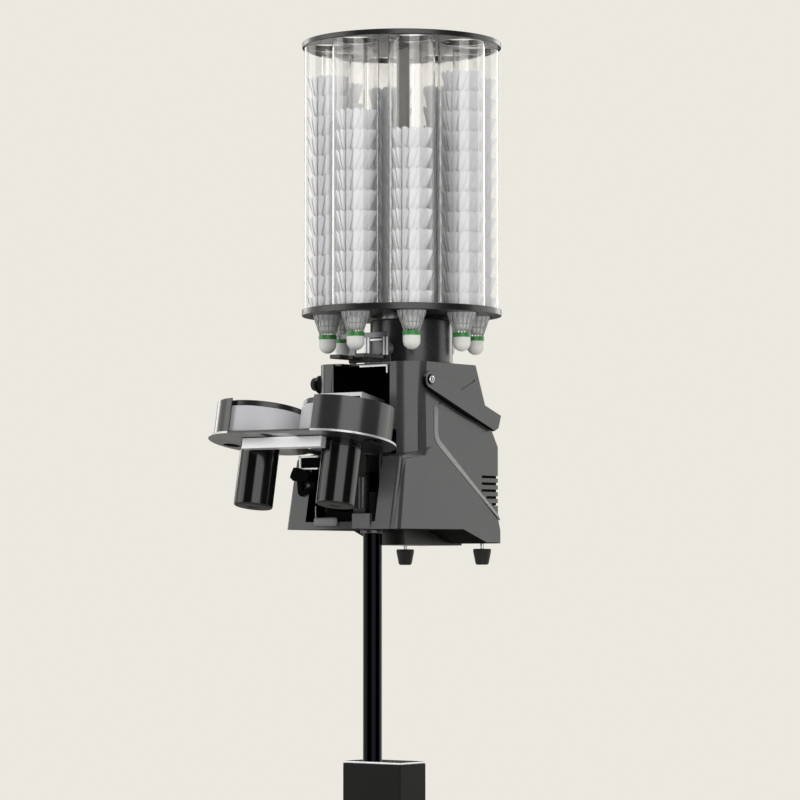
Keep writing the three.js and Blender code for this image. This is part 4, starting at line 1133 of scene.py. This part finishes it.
# %% Feet
FOOT_HEIGHT = 24 * MM
FOOT_LIP = 2 * MM
FOOT_STEPS = 48
FOOT_TAPER_SHARE = 0.74
STEM_RADIUS = 3 * MM
for side, _ in SIDES:
    low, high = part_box(f"rear_foot_{side}")
    place = middle(f"rear_foot_{side}")
    rubber_top = low.z + FOOT_HEIGHT
    top_radius = (high.x - low.x) / 2
    bottom_radius = top_radius * FOOT_TAPER_SHARE
    foot = spun(f"foot_{side}", [
        (0, low.z), (bottom_radius - FOOT_LIP, low.z), (bottom_radius, low.z + FOOT_LIP),
        (top_radius, rubber_top - FOOT_LIP * 2), (top_radius, rubber_top - FOOT_LIP / 2),
        (top_radius - FOOT_LIP / 2, rubber_top), (STEM_RADIUS, rubber_top),
        (STEM_RADIUS, high.z), (0, high.z),
    ], place.xy, FOOT_STEPS)
    two_tone(foot, rubber, turned_steel, lambda face: face.center.z > rubber_top + SEAT_GAP)
    finished(foot, "head", "foot_rubber", stands_for=[f"rear_foot_{side}"])

# %% [markdown]
# ## The handle's screw, bush and knob
# A bright pan-head screw with a sunk middle holds the handle on the right, and a black bush sits under its
# head. They are spun upright, where profiles are easy to read, and then turned sideways into the wall.

# %% Screw and bush
SHANK_RADIUS = 4 * MM
SCREW_LENGTH = 4 * MM
SCREW_STEPS = 48
# Each point's share of the head's radius and of its height
SCREW_HEAD_SHARES = [(1, 0), (1, 0.55), (0.8, 0.85), (0.45, 1), (0.4, 0.6), (0, 0.6)]
BUSH_SINK = 0.2 * MM
BUSH_RISE = 0.6 * MM
BUSH_BORE_SHARE = 0.7
BUSH_RIM_SHARE = 1.25

pivot = middle("handle_screw")
screw_low, screw_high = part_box("handle_screw")
screw_head = (screw_high.z - screw_low.z) / 2
screw_wall = screw_high.x - SCREW_LENGTH


def sideways(obj, wall, sign):
    """Turns a piece made on the upright axis so that it points sideways out of a wall."""
    turned = Matrix.Rotation(sign * math.pi / 2, 4, "Y")
    return moved(obj, Matrix.Translation((wall, pivot.y, pivot.z)) @ turned)


screw = spun("handle_screw_turned", [
    (0, screw_low.x - screw_wall), (SHANK_RADIUS, screw_low.x - screw_wall), (SHANK_RADIUS, 0),
    *[(screw_head * out, SCREW_LENGTH * up) for out, up in SCREW_HEAD_SHARES],
], steps=SCREW_STEPS)
sideways(screw, screw_wall, 1)
bush_bore, bush_rim = screw_head * BUSH_BORE_SHARE, screw_head * BUSH_RIM_SHARE
bush = spun("handle_bush", closed([
    (bush_bore, -BUSH_SINK), (bush_rim, -BUSH_SINK), (bush_rim, BUSH_RISE), (bush_bore, BUSH_RISE),
]), steps=SCREW_STEPS)
sideways(bush, screw_wall, 1)
finished(bush, "head", "foot_rubber", rubber_and_painted_shade)
finished(screw, "head", "bright_steel", turned_steel, ["handle_screw"])

# %% [markdown]
# On the left a rubber knob clamps the handle. Its ribs come from a formula: the rim's points are drawn in
# by a cosine that runs round it once for each rib.

# %% Knob
KNOB_RIBS = 24
KNOB_LENGTH = 11 * MM
KNOB_ROUND = 1.8 * MM
KNOB_RIM_SHARE = 0.8
KNOB_RIB_SHARE = 0.035

knob_low, knob_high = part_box("handle_knob")
knob_wall = knob_low.x + KNOB_LENGTH
knob_radius = (knob_high.z - knob_low.z) / 2
knob = spun("handle_knob_ribbed", [
    (0, knob_wall - knob_high.x), (SHANK_RADIUS, knob_wall - knob_high.x), (SHANK_RADIUS, 0),
    *rounded(KNOB_ROUND, knob_radius, 0, KNOB_LENGTH)[1:],
], steps=KNOB_RIBS * 4)
for corner in knob.data.vertices:
    if corner.co.xy.length > knob_radius * KNOB_RIM_SHARE:
        turn = math.atan2(corner.co.y, corner.co.x)
        corner.co.xy *= 1 - KNOB_RIB_SHARE * (1 - math.cos(turn * KNOB_RIBS)) / 2
sideways(knob, knob_wall, -1)
finished(knob, "head", "black_plastic", rubber, ["handle_knob"])

# %% [markdown]
# ## The carrying handle
# The handle is a flat U whose arms swing on the screw and the knob. It is moulded in the housing's grey, so
# the frame's own shape is copied and its edges are softened.

# %% Handle
HANDLE_EDGE = 1.2 * MM
HANDLE_EDGE_ANGLE = 50
handle = edged(copied("carry_handle", "handle_moulded"), HANDLE_EDGE, 3, HANDLE_EDGE_ANGLE)
finished(handle, "handle", "grey_shell", shell_abs, ["carry_handle"])

# %% [markdown]
# A black strip runs along the lower edge of each arm, from behind the pivot to the grip, and is thickest in
# the middle: a painted shadow under the arm. It is drawn with the arm level, as an arc and a straight
# stretch, and then turned to the arm's droop about the handle's own joint.

# %% Painted shadows under the handle
ARM_LENGTH = 172 * MM
ARM_DROOP = math.radians(19.34)
ARM_INNER, ARM_OUTER = 99.5 * MM, 104.9 * MM
ARM_FOOT = 14 * MM
ARM_STEPS = 12
PIVOT_RADIUS = 13 * MM
PIVOT_STEPS = 8
SHADOW_DEPTH = 4.4 * MM
SHADOW_THIN = 1.6 * MM
SHADOW_SINK = 1 * MM
SHADOW_EDGE = 0.6 * MM
SHADOW_START_SHARE = 0.4
SHADOW_BULGE_SHARE = 0.8

handle_pivot = Vector(joints["handle_swing"]["pos_m"])
droop = Matrix.Translation((0, handle_pivot.y, handle_pivot.z)) @ Matrix.Rotation(-ARM_DROOP, 4, "X")


def shadow_strip(side, sign):
    """A black strip under one arm, a painted shadow."""
    inner, outer = [], []
    for i in range(PIVOT_STEPS + 1):
        turn = math.pi + math.pi / 2 * i / PIVOT_STEPS
        spot = Vector((math.cos(turn), math.sin(turn)))
        growth = SHADOW_START_SHARE + (1 - SHADOW_START_SHARE) * i / PIVOT_STEPS
        inner.append(spot * (PIVOT_RADIUS - SHADOW_SINK))
        outer.append(spot * (PIVOT_RADIUS + SHADOW_THIN * growth))
    for i in range(1, ARM_STEPS + 1):
        share = i / ARM_STEPS
        foot = -PIVOT_RADIUS - (ARM_FOOT - PIVOT_RADIUS) * share
        bulge = math.sin(math.pi * min(share / SHADOW_BULGE_SHARE, 1)) ** 0.5
        thick = SHADOW_THIN + (SHADOW_DEPTH - SHADOW_THIN) * bulge
        inner.append(Vector((ARM_LENGTH * share, foot + SHADOW_SINK)))
        outer.append(Vector((ARM_LENGTH * share, foot - thick + SHADOW_SINK)))
    depths = sorted([sign * ARM_INNER, sign * ARM_OUTER])
    strip = plate(f"handle_shadow_strip_{side}", [*inner, *reversed(outer)], *depths, facing="X")
    edged(strip, SHADOW_EDGE)
    return finished(moved(strip, droop), "handle", "foot_rubber", rubber_and_painted_shade)


for side, sign in SIDES:
    shadow_strip(side, sign)

# %% [markdown]
# ## Neck
# The neck is a short thick-walled tube with a rounded shoulder. It is spun in one go, and the hole for the
# turntable, which isn't in its middle, is cut afterwards.

# %% Neck
NECK_WALL = 3 * MM
NECK_SHOULDER = 2.5 * MM
NECK_STEPS = 128
MOUTH_RADIUS = 30.3 * MM

neck_low, neck_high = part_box("neck_shell")
neck_place = middle("neck_shell")
neck_radius = (neck_high.x - neck_low.x) / 2
neck_bore = neck_radius - NECK_WALL
neck_ceiling = neck_high.z - NECK_WALL
neck = spun("neck_moulded", [
    (0, neck_high.z), *round_out(neck_radius, neck_high.z, NECK_SHOULDER, -1),
    (neck_radius, neck_low.z), (neck_bore, neck_low.z), (neck_bore, neck_ceiling), (0, neck_ceiling),
], neck_place.xy, NECK_STEPS)
mouth_reach = NECK_WALL * 3
mouth = cylinder(
    "neck_mouth", MOUTH_RADIUS, carousel_axis.xy, neck_high.z - mouth_reach, neck_high.z + mouth_reach)
carved(neck, mouth)
finished(neck, "head", "neck_plastic", neck_abs, ["neck_shell"])

# %% [markdown]
# A black ring lies where the neck meets the housing: a painted shadow of the joint. It reaches a little into
# the neck's wall, so that no gap shows between them.

# %% Painted shadow round the neck
JOINT_SHADOW_HEIGHT = 4 * MM
JOINT_SHADOW_RISE = 1.2 * MM
JOINT_SHADOW_SINK = 1 * MM
JOINT_SHADOW_EDGE = 0.8 * MM

shadow_inner, shadow_outer = neck_radius - JOINT_SHADOW_SINK, neck_radius + JOINT_SHADOW_RISE
shadow_top = neck_low.z + JOINT_SHADOW_HEIGHT
neck_shadow_ring = spun("neck_joint_shadow", closed([
    (shadow_inner, neck_low.z), (shadow_outer, neck_low.z), (shadow_outer, shadow_top), (shadow_inner, shadow_top),
]), neck_place.xy, NECK_STEPS)
finished(edged(neck_shadow_ring, JOINT_SHADOW_EDGE), "head", "foot_rubber", rubber_and_painted_shade)

# %% [markdown]
# ## The launcher's own frame
# The launcher hangs on a cross shaft and rests tilted. Its pieces are drawn level, about that shaft, and one
# matrix then puts each of them in place. The tilt is read from the direction of a wheel's axis.

# %% Launcher matrix
_, axis_y, axis_z = joints["wheel_left_spin"]["axis"]
tilt_place = Vector(joints["launcher_tilt"]["pos_m"])
launcher_matrix = Matrix.Translation(tilt_place) @ Matrix.Rotation(-math.atan2(axis_y, axis_z), 4, "X")


def level_box(node):
    """A launcher node's lowest and highest corners in the launcher's own, level frame."""
    level = launcher_matrix.inverted()
    corners = [level @ corner.co for corner in nodes[node].data.vertices]
    low = Vector([min(corner[i] for corner in corners) for i in range(3)])
    high = Vector([max(corner[i] for corner in corners) for i in range(3)])
    return low, high


def placed(obj, *rest, **named_rest):
    """Puts a level piece in place on the launcher and finishes it."""
    return finished(moved(obj, launcher_matrix), *rest, **named_rest)


print("launcher tilt in degrees:", round(math.degrees(math.atan2(axis_y, axis_z)), 2))

# %% [markdown]
# ## Wheels
# Two foam tyres grip the cork and throw it. Each is a ground polyurethane ring on a black hub. Both are spun
# profiles, and the tyre's edges are rounded, because the grinding leaves no corner.

# %% Tyres
WHEEL_STEPS = 128
TYRE_BORE = 56.3 * MM
TYRE_ROUND = 3 * MM


def foam_tyre(side):
    """The tyre of one wheel, with both its rims rounded."""
    low, high = level_box(f"wheel_tyre_{side}")
    outer = (high.x - low.x) / 2
    tyre = spun(f"tyre_{side}", closed([
        (TYRE_BORE, low.z), *round_out(outer, low.z, TYRE_ROUND),
        *reversed(round_out(outer, high.z, TYRE_ROUND, -1)), (TYRE_BORE, high.z),
    ]), ((low + high) / 2).xy, WHEEL_STEPS)
    placed(tyre, f"wheel_{side}", "tyre_foam", tyre_foam, [f"wheel_tyre_{side}"])


# %% [markdown]
# The hub has a rim that stands above the tyre, a web and a boss with the bore for the motor's shaft. Its
# profile goes once round that section, with a small chamfer at each corner that shows.

# %% Hubs
HUB_WALL = 4 * MM
HUB_EDGE = 1.2 * MM
WEB_DROP = 16 * MM
WEB_THICKNESS = 8 * MM
BOSS_RADIUS = 12 * MM
BOSS_RISE = 6 * MM
BORE_RADIUS = 4.3 * MM


def wheel_hub(side):
    """The hub of one wheel, seated in its tyre."""
    low, high = level_box(f"wheel_tyre_{side}")
    hub_low, hub_high = level_box(f"wheel_hub_{side}")
    rim = (hub_high.x - hub_low.x) / 2
    seat = TYRE_BORE - SEAT_GAP
    inside = seat - HUB_WALL
    web_low = low.z + WEB_DROP
    web_high = web_low + WEB_THICKNESS
    boss_low, boss_high = web_low - BOSS_RISE, web_high + BOSS_RISE
    hub = spun(f"hub_{side}", closed([
        (BORE_RADIUS, boss_low), (BOSS_RADIUS, boss_low), (BOSS_RADIUS, web_low),
        (inside - HUB_EDGE, web_low), (inside, web_low - HUB_EDGE), (inside, low.z), (seat, low.z),
        (seat, high.z + SEAT_GAP),
        (rim, high.z + SEAT_GAP), (rim, hub_high.z - HUB_EDGE), (rim - HUB_EDGE, hub_high.z),
        (inside + HUB_EDGE, hub_high.z), (inside, hub_high.z - HUB_EDGE), (inside, web_high + HUB_EDGE),
        (inside - HUB_EDGE, web_high), (BOSS_RADIUS, web_high), (BOSS_RADIUS, boss_high - HUB_EDGE),
        (BOSS_RADIUS - HUB_EDGE, boss_high), (BORE_RADIUS, boss_high),
    ]), ((low + high) / 2).xy, WHEEL_STEPS)
    placed(hub, f"wheel_{side}", "black_plastic", disc_abs, [f"wheel_hub_{side}"])


for side, _ in SIDES:
    foam_tyre(side)
    wheel_hub(side)

# %% [markdown]
# ## Guards
# A guard wraps the outer side of each wheel. It is a wall spun through a little more or less than half a
# turn, so its ends are flat and its long edges can be rounded like those of a folded and rolled sheet.

# %% Wheel guards
GUARD_WALL = 2 * MM
GUARD_EDGE = 0.8 * MM
GUARD_EDGE_ANGLE = 40
GUARD_STEPS = 72
HALF_TURN = 180
GUARD_OVERLAPS = {"left": -4, "right": 5}
for side, sign in SIDES:
    low, high = level_box(f"wheel_guard_{side}")
    tyre_low, tyre_high = level_box(f"wheel_tyre_{side}")
    centre = ((tyre_low + tyre_high) / 2).xy
    outer = high.x - centre.x if sign > 0 else centre.x - low.x
    overlap = GUARD_OVERLAPS[side]
    first = -HALF_TURN / 2 - overlap if sign > 0 else HALF_TURN / 2
    guard = spun(f"guard_{side}", closed([
        (outer - GUARD_WALL, low.z), (outer, low.z), (outer, high.z), (outer - GUARD_WALL, high.z),
    ]), centre, GUARD_STEPS, first, HALF_TURN + overlap)
    edged(guard, GUARD_EDGE, 3, GUARD_EDGE_ANGLE)
    placed(guard, "launcher", "guard_plastic", guard_abs, [f"wheel_guard_{side}"])

# %% [markdown]
# ## Wheel motors
# The motors are deep-drawn steel cans in gloss black enamel. A can's bottom corner is rounded by the drawing
# die, and a thin seam shows where its lid is pressed in. The gloss is what draws the tall grey bands on
# them, and a rubber cap closes the bottom.

# %% Motors
MOTOR_SHAFT_RADIUS = 4 * MM
MOTOR_ROUND = 3 * MM
MOTOR_ROUND_STEPS = 5
SEAM_DROP = 9 * MM
SEAM_DEPTH = 0.5 * MM
CAP_RADIUS = 9 * MM
CAP_CHAMFER = 1 * MM
CAP_SINK = 1.2 * MM

motor_top = level_box("front_bar")[1].z
seam = motor_top - SEAM_DROP
for side, _ in SIDES:
    low, high = level_box(f"wheel_motor_{side}")
    can = (high.x - low.x) / 2
    cap_edge = low.z + MOTOR_ROUND / 2
    motor = spun(f"motor_{side}", [
        (0, low.z + CAP_SINK), (CAP_RADIUS - CAP_CHAMFER, low.z + CAP_SINK), (CAP_RADIUS, low.z),
        *round_out(can, low.z, MOTOR_ROUND, steps=MOTOR_ROUND_STEPS),
        (can, seam), (can - SEAM_DEPTH, seam + SEAM_DEPTH), (can, seam + SEAM_DEPTH * 2), (can, motor_top),
        (MOTOR_SHAFT_RADIUS, motor_top), (MOTOR_SHAFT_RADIUS, high.z), (0, high.z),
    ], ((low + high) / 2).xy)
    two_tone(motor, enamel, rubber, lambda face: face.center.z < cap_edge)
    placed(motor, "launcher", "motor_black", stands_for=[f"wheel_motor_{side}"])

# %% [markdown]
# ## Launcher plate and front bar
# The plate is cut from steel sheet. Two round lobes and a narrower rear are joined to a square middle, and
# the slot for the shuttlecock and the round holes are cut out.

# %% Plate
PLATE_THICKNESS = 3 * MM
PLATE_EDGE = 0.5 * MM
CUT = 10 * MM
LOBE_STEPS = 128
SLOT_HALF, SLOT_BACK = 26 * MM, -66 * MM
REAR_HALF, REAR_FRONT = 44 * MM, -78 * MM
WEB_DEPTH = 12 * MM
HOLE_RADIUS = 13 * MM
HOLE_OFFSET = 55 * MM

low, high = level_box("launcher_plate")
tyre_low, tyre_high = level_box("wheel_tyre_right")
wheel_x, wheel_y = ((tyre_low + tyre_high) / 2).xy
plate_top = level_box("wheel_guard_right")[0].z - SEAT_GAP
plate_low = plate_top - PLATE_THICKNESS
lobe_radius = high.x - wheel_x
lobe_centres = [Vector((sign * wheel_x, wheel_y)) for _, sign in SIDES]


def plate_block(name, left, front, right, back, beyond=0):
    """A block as thick as the plate, or thicker by beyond on both sides, for cutting."""
    return block(name, (left, front, plate_low - beyond), (right, back, plate_top + beyond))


plate_piece = plate_block("launcher_plate_cut", -wheel_x, low.y, wheel_x, wheel_y)
lobes = [
    cylinder(f"lobe_{i}", lobe_radius, centre, plate_low, plate_top, LOBE_STEPS)
    for i, centre in enumerate(lobe_centres)]
rear = plate_block("plate_rear", -REAR_HALF, wheel_y, REAR_HALF, REAR_FRONT)
carved(plate_piece, *lobes, rear, operation="UNION")
slot = plate_block("plate_slot", -SLOT_HALF, low.y + WEB_DEPTH, SLOT_HALF, SLOT_BACK, CUT)
hole_x = wheel_x + HOLE_OFFSET
holes = [
    cylinder(f"hole_{side}", HOLE_RADIUS, (sign * hole_x, wheel_y), plate_low - CUT, plate_top + CUT)
    for side, sign in SIDES]
edged(carved(plate_piece, slot, *holes), PLATE_EDGE)

# %% [markdown]
# Its faces are painted, and round the outer part of each lobe its cut edge gets a bright finish, a painted
# highlight, chosen by each face's direction and its distance from the wheel's axis. The cheeks that carry the
# plate on its shaft are bent up behind it; they are kept from the frame's own shape and joined on.

# %% Bright edge and cheeks
HIGHLIGHT_START = 55 * MM
HIGHLIGHT_DEPTH = 1 * MM
LEVEL_SHARE = 0.8
CHEEK_FRONT = 9 * MM


def gets_edge_highlight(face):
    """True for the faces of the cut edge round the outer part of a lobe, which get the painted highlight."""
    from_lobe = min((face.center.xy - centre).length for centre in lobe_centres)
    upright = abs(face.normal.z) < LEVEL_SHARE and from_lobe > lobe_radius - HIGHLIGHT_DEPTH
    return upright and abs(face.center.x) > HIGHLIGHT_START


two_tone(plate_piece, plate_paint, edge_painted_highlight, gets_edge_highlight)
cheeks = copied("launcher_plate", "cheeks")
moved(cheeks, launcher_matrix.inverted())
keep_low = (-REAR_HALF - CUT, REAR_FRONT - CHEEK_FRONT, low.z - CUT)
keep = block("cheek_keep", keep_low, (REAR_HALF + CUT, high.y + CUT, high.z + CUT))
edged(carved(cheeks, keep, operation="INTERSECT"), PLATE_EDGE)
cheeks.data.materials.append(plate_paint)
plate_piece = joined("launcher_plate_cut", plate_piece, cheeks)
placed(plate_piece, "launcher", "black_steel", stands_for=["launcher_plate"])

# %% [markdown]
# A brushed bar under the front edge ties the two lobes. It is a length of flat stock, so a block with broken
# edges is all it needs.

# %% Front bar
BAR_EDGE = 0.9 * MM
bar = edged(block("front_bar_brushed", *level_box("front_bar")), BAR_EDGE, 3)
placed(bar, "launcher", "aluminium", bar_and_painted_highlights, ["front_bar"])

# %% [markdown]
# ## Feeder and inner parts
# The frame's folded sheet metal is right as it is, so it is copied and its edges are broken, as a press
# brake and a file leave them. The carriage and its two jaws move, and each rides on its own body.

# %% Copied pieces
# Node, body, slot, finish, edge radius and the steps of the edge
COPIED_PIECES = [
    ("feeder_frame", "head", "aluminium", satin_steel, 0.4 * MM, 2),
    ("feed_carriage", "carriage", "black_plastic", rubber, 0.8 * MM, 2),
    ("grip_jaw_left", "jaw_left", "black_plastic", black_abs, 0.7 * MM, 2),
    ("grip_jaw_right", "jaw_right", "black_plastic", black_abs, 0.7 * MM, 2),
    ("feed_motor", "head", "aluminium", grey_plastic, 0.6 * MM, 2),
    ("shuttle_chute", "launcher", "aluminium", brushed_aluminium, 0.3 * MM, 1),
    ("tilt_shaft", "launcher", "bright_steel", turned_steel, 0.6 * MM, 2),
    ("base_tray", "head", "black_plastic", black_abs, 1 * MM, 2),
    ("tilt_bracket", "head", "black_steel", powder_coat, 0.5 * MM, 2),
    ("power_switch", "power_switch", "black_plastic", black_abs, 1.4 * MM, 3),
]
for values in COPIED_PIECES:
    trimmed(*values)

# %% [markdown]
# The posts of the feeder are channels: their folded edges catch the light on both sides of a dark web, and a
# flange ties them at the bottom. In the lower opening a wire loop, a pull tab on its rod and the sill show.
# The posts' folded edges, the flange and the loop's outline are near-white bars, painted highlights, and the
# black bar inside the loop is a painted shadow. All of them are small bars set against the part that carries
# them, so a table holds their corners.

# %% Folded edges and small bars
BAR_SMALL_EDGE = 0.5 * MM
TAB_EDGE = 4 * MM
# Lowest and highest corner in millimetres, and the finish
SMALL_BARS = {
    "post_edge_1": ((-12.4, -4.2, 1031.5), (-9.6, -2, 1070), bar_and_painted_highlights),
    "post_edge_2": ((-6.6, -4.2, 1031.5), (-3.8, -2, 1070), bar_and_painted_highlights),
    "post_edge_3": ((23, -4.2, 1031.5), (25.4, -2, 1070), bar_and_painted_highlights),
    "post_edge_4": ((28.2, -4.2, 1031.5), (31.3, -2, 1070), bar_and_painted_highlights),
    "post_flange": ((-18, -9, 1025.4), (34, -4, 1028.6), bar_and_painted_highlights),
    "flange_lip": ((32.2, -9, 1015.5), (35, -6, 1028), bar_and_painted_highlights),
    "guide_pin": ((-2.5, -4, 1064.4), (21, -1.5, 1067.4), bar_and_painted_highlights),
    "loop_top": ((-88, -68, 890.6), (-50, -62.6, 893.6), bar_and_painted_highlights),
    "loop_bottom": ((-84, -68, 873), (-50, -62.6, 875.6), bar_and_painted_highlights),
    "loop_side": ((-85, -68, 873), (-82, -61, 893.6), bar_and_painted_highlights),
    "loop_shadow": ((-82, -66, 875.6), (-50, -58, 890.6), rubber_and_painted_shade),
    "pull_rod": ((-48.2, -76, 800), (-46.2, -73, 819), satin_steel),
    "pull_tab": ((-46.4, -83, 788.6), (-4, -76.5, 801.6), grey_plastic),
    "sill_block": ((-29, -76, 795), (19, -70, 809.4), rubber_and_painted_shade),
    "sill_lip": ((24.4, -80.4, 785), (57.6, -74, 807), shell_abs),
    "cylinder_base": ((8, -56, 795), (30, -46, 815.4), black_abs),
}
BAR_SLOTS = {
    bar_and_painted_highlights.name: "aluminium", satin_steel.name: "bright_steel", grey_plastic.name: "grey_shell",
    shell_abs.name: "grey_shell", black_abs.name: "black_plastic", rubber_and_painted_shade.name: "black_plastic",
}
for name, (low, high, material) in SMALL_BARS.items():
    edge = TAB_EDGE if name == "pull_tab" else BAR_SMALL_EDGE
    bar = edged(block(name, Vector(low) * MM, Vector(high) * MM), edge, 3)
    finished(bar, "head", BAR_SLOTS[material.name], material)

# %% [markdown]
# A moulded latch lever hangs in the opening, with a window through its middle, and a short cylinder stands
# beside it. The lever is its outline, pulled to its thickness, and the window is cut out like a hole.

# %% Latch lever and cylinder
LEVER_FRONT, LEVER_BACK = -74 * MM, -64 * MM
LEVER_EDGE = 0.6 * MM
WINDOW_OVERRUN = 5 * MM
# Points in X and Z, in millimetres
LEVER_OUTLINE = [
    (-96, 867.7), (-91, 876.5), (-78, 874), (-62.8, 868.1), (-61.5, 863.1), (-66, 858), (-50.5, 853),
    (-49.5, 848), (-70, 835.5), (-78, 833.5), (-82.5, 838), (-84.5, 856), (-92.2, 856.7), (-98, 861.8),
]
LEVER_WINDOW = [(-77, 855), (-68, 856), (-58, 849), (-73, 841.5)]
LATCH_RADIUS, LATCH_HEIGHT = 6.2 * MM, 46 * MM
LATCH_MIDDLE = Vector((21.6, -52, 838)) * MM
LATCH_EDGE = 0.8 * MM
LATCH_STEPS = 48

lever = plate("latch_lever", [Vector(spot) * MM for spot in LEVER_OUTLINE], LEVER_FRONT, LEVER_BACK, "Y")
window_outline = [Vector(spot) * MM for spot in LEVER_WINDOW]
window = plate("latch_window", window_outline, LEVER_FRONT - WINDOW_OVERRUN, LEVER_BACK + WINDOW_OVERRUN, "Y")
finished(edged(carved(lever, window), LEVER_EDGE), "head", "black_plastic", rubber_and_painted_shade)
latch_low, latch_high = LATCH_MIDDLE.z - LATCH_HEIGHT / 2, LATCH_MIDDLE.z + LATCH_HEIGHT / 2
latch = cylinder("latch_cylinder", LATCH_RADIUS, LATCH_MIDDLE.xy, latch_low, latch_high, LATCH_STEPS)
finished(edged(latch, LATCH_EDGE), "head", "grey_shell", shell_abs)

# %% [markdown]
# ## Finishes for what keeps the frame's own shape
# Bearings, drives, the battery and the board sit inside, and the frame's shape is right for them. They only
# need their finish.

# %% Finishes of the inner parts
INNER_FINISHES = {
    "gas_strut_tube": powder_coat, "gas_strut_rod": turned_steel, "pan_bearing": turned_steel,
    "turntable_bearing": turned_steel, "pan_motor": rubber, "carousel_motor": enamel, "tilt_motor": rubber,
    "battery_pack": shrink_film, "control_board": solder_mask,
}
for name, material in INNER_FINISHES.items():
    nodes[name].data.materials.clear()
    nodes[name].data.materials.append(material)
print("still in the frame's own shape:", [name for name, obj in nodes.items() if not obj.hide_render])
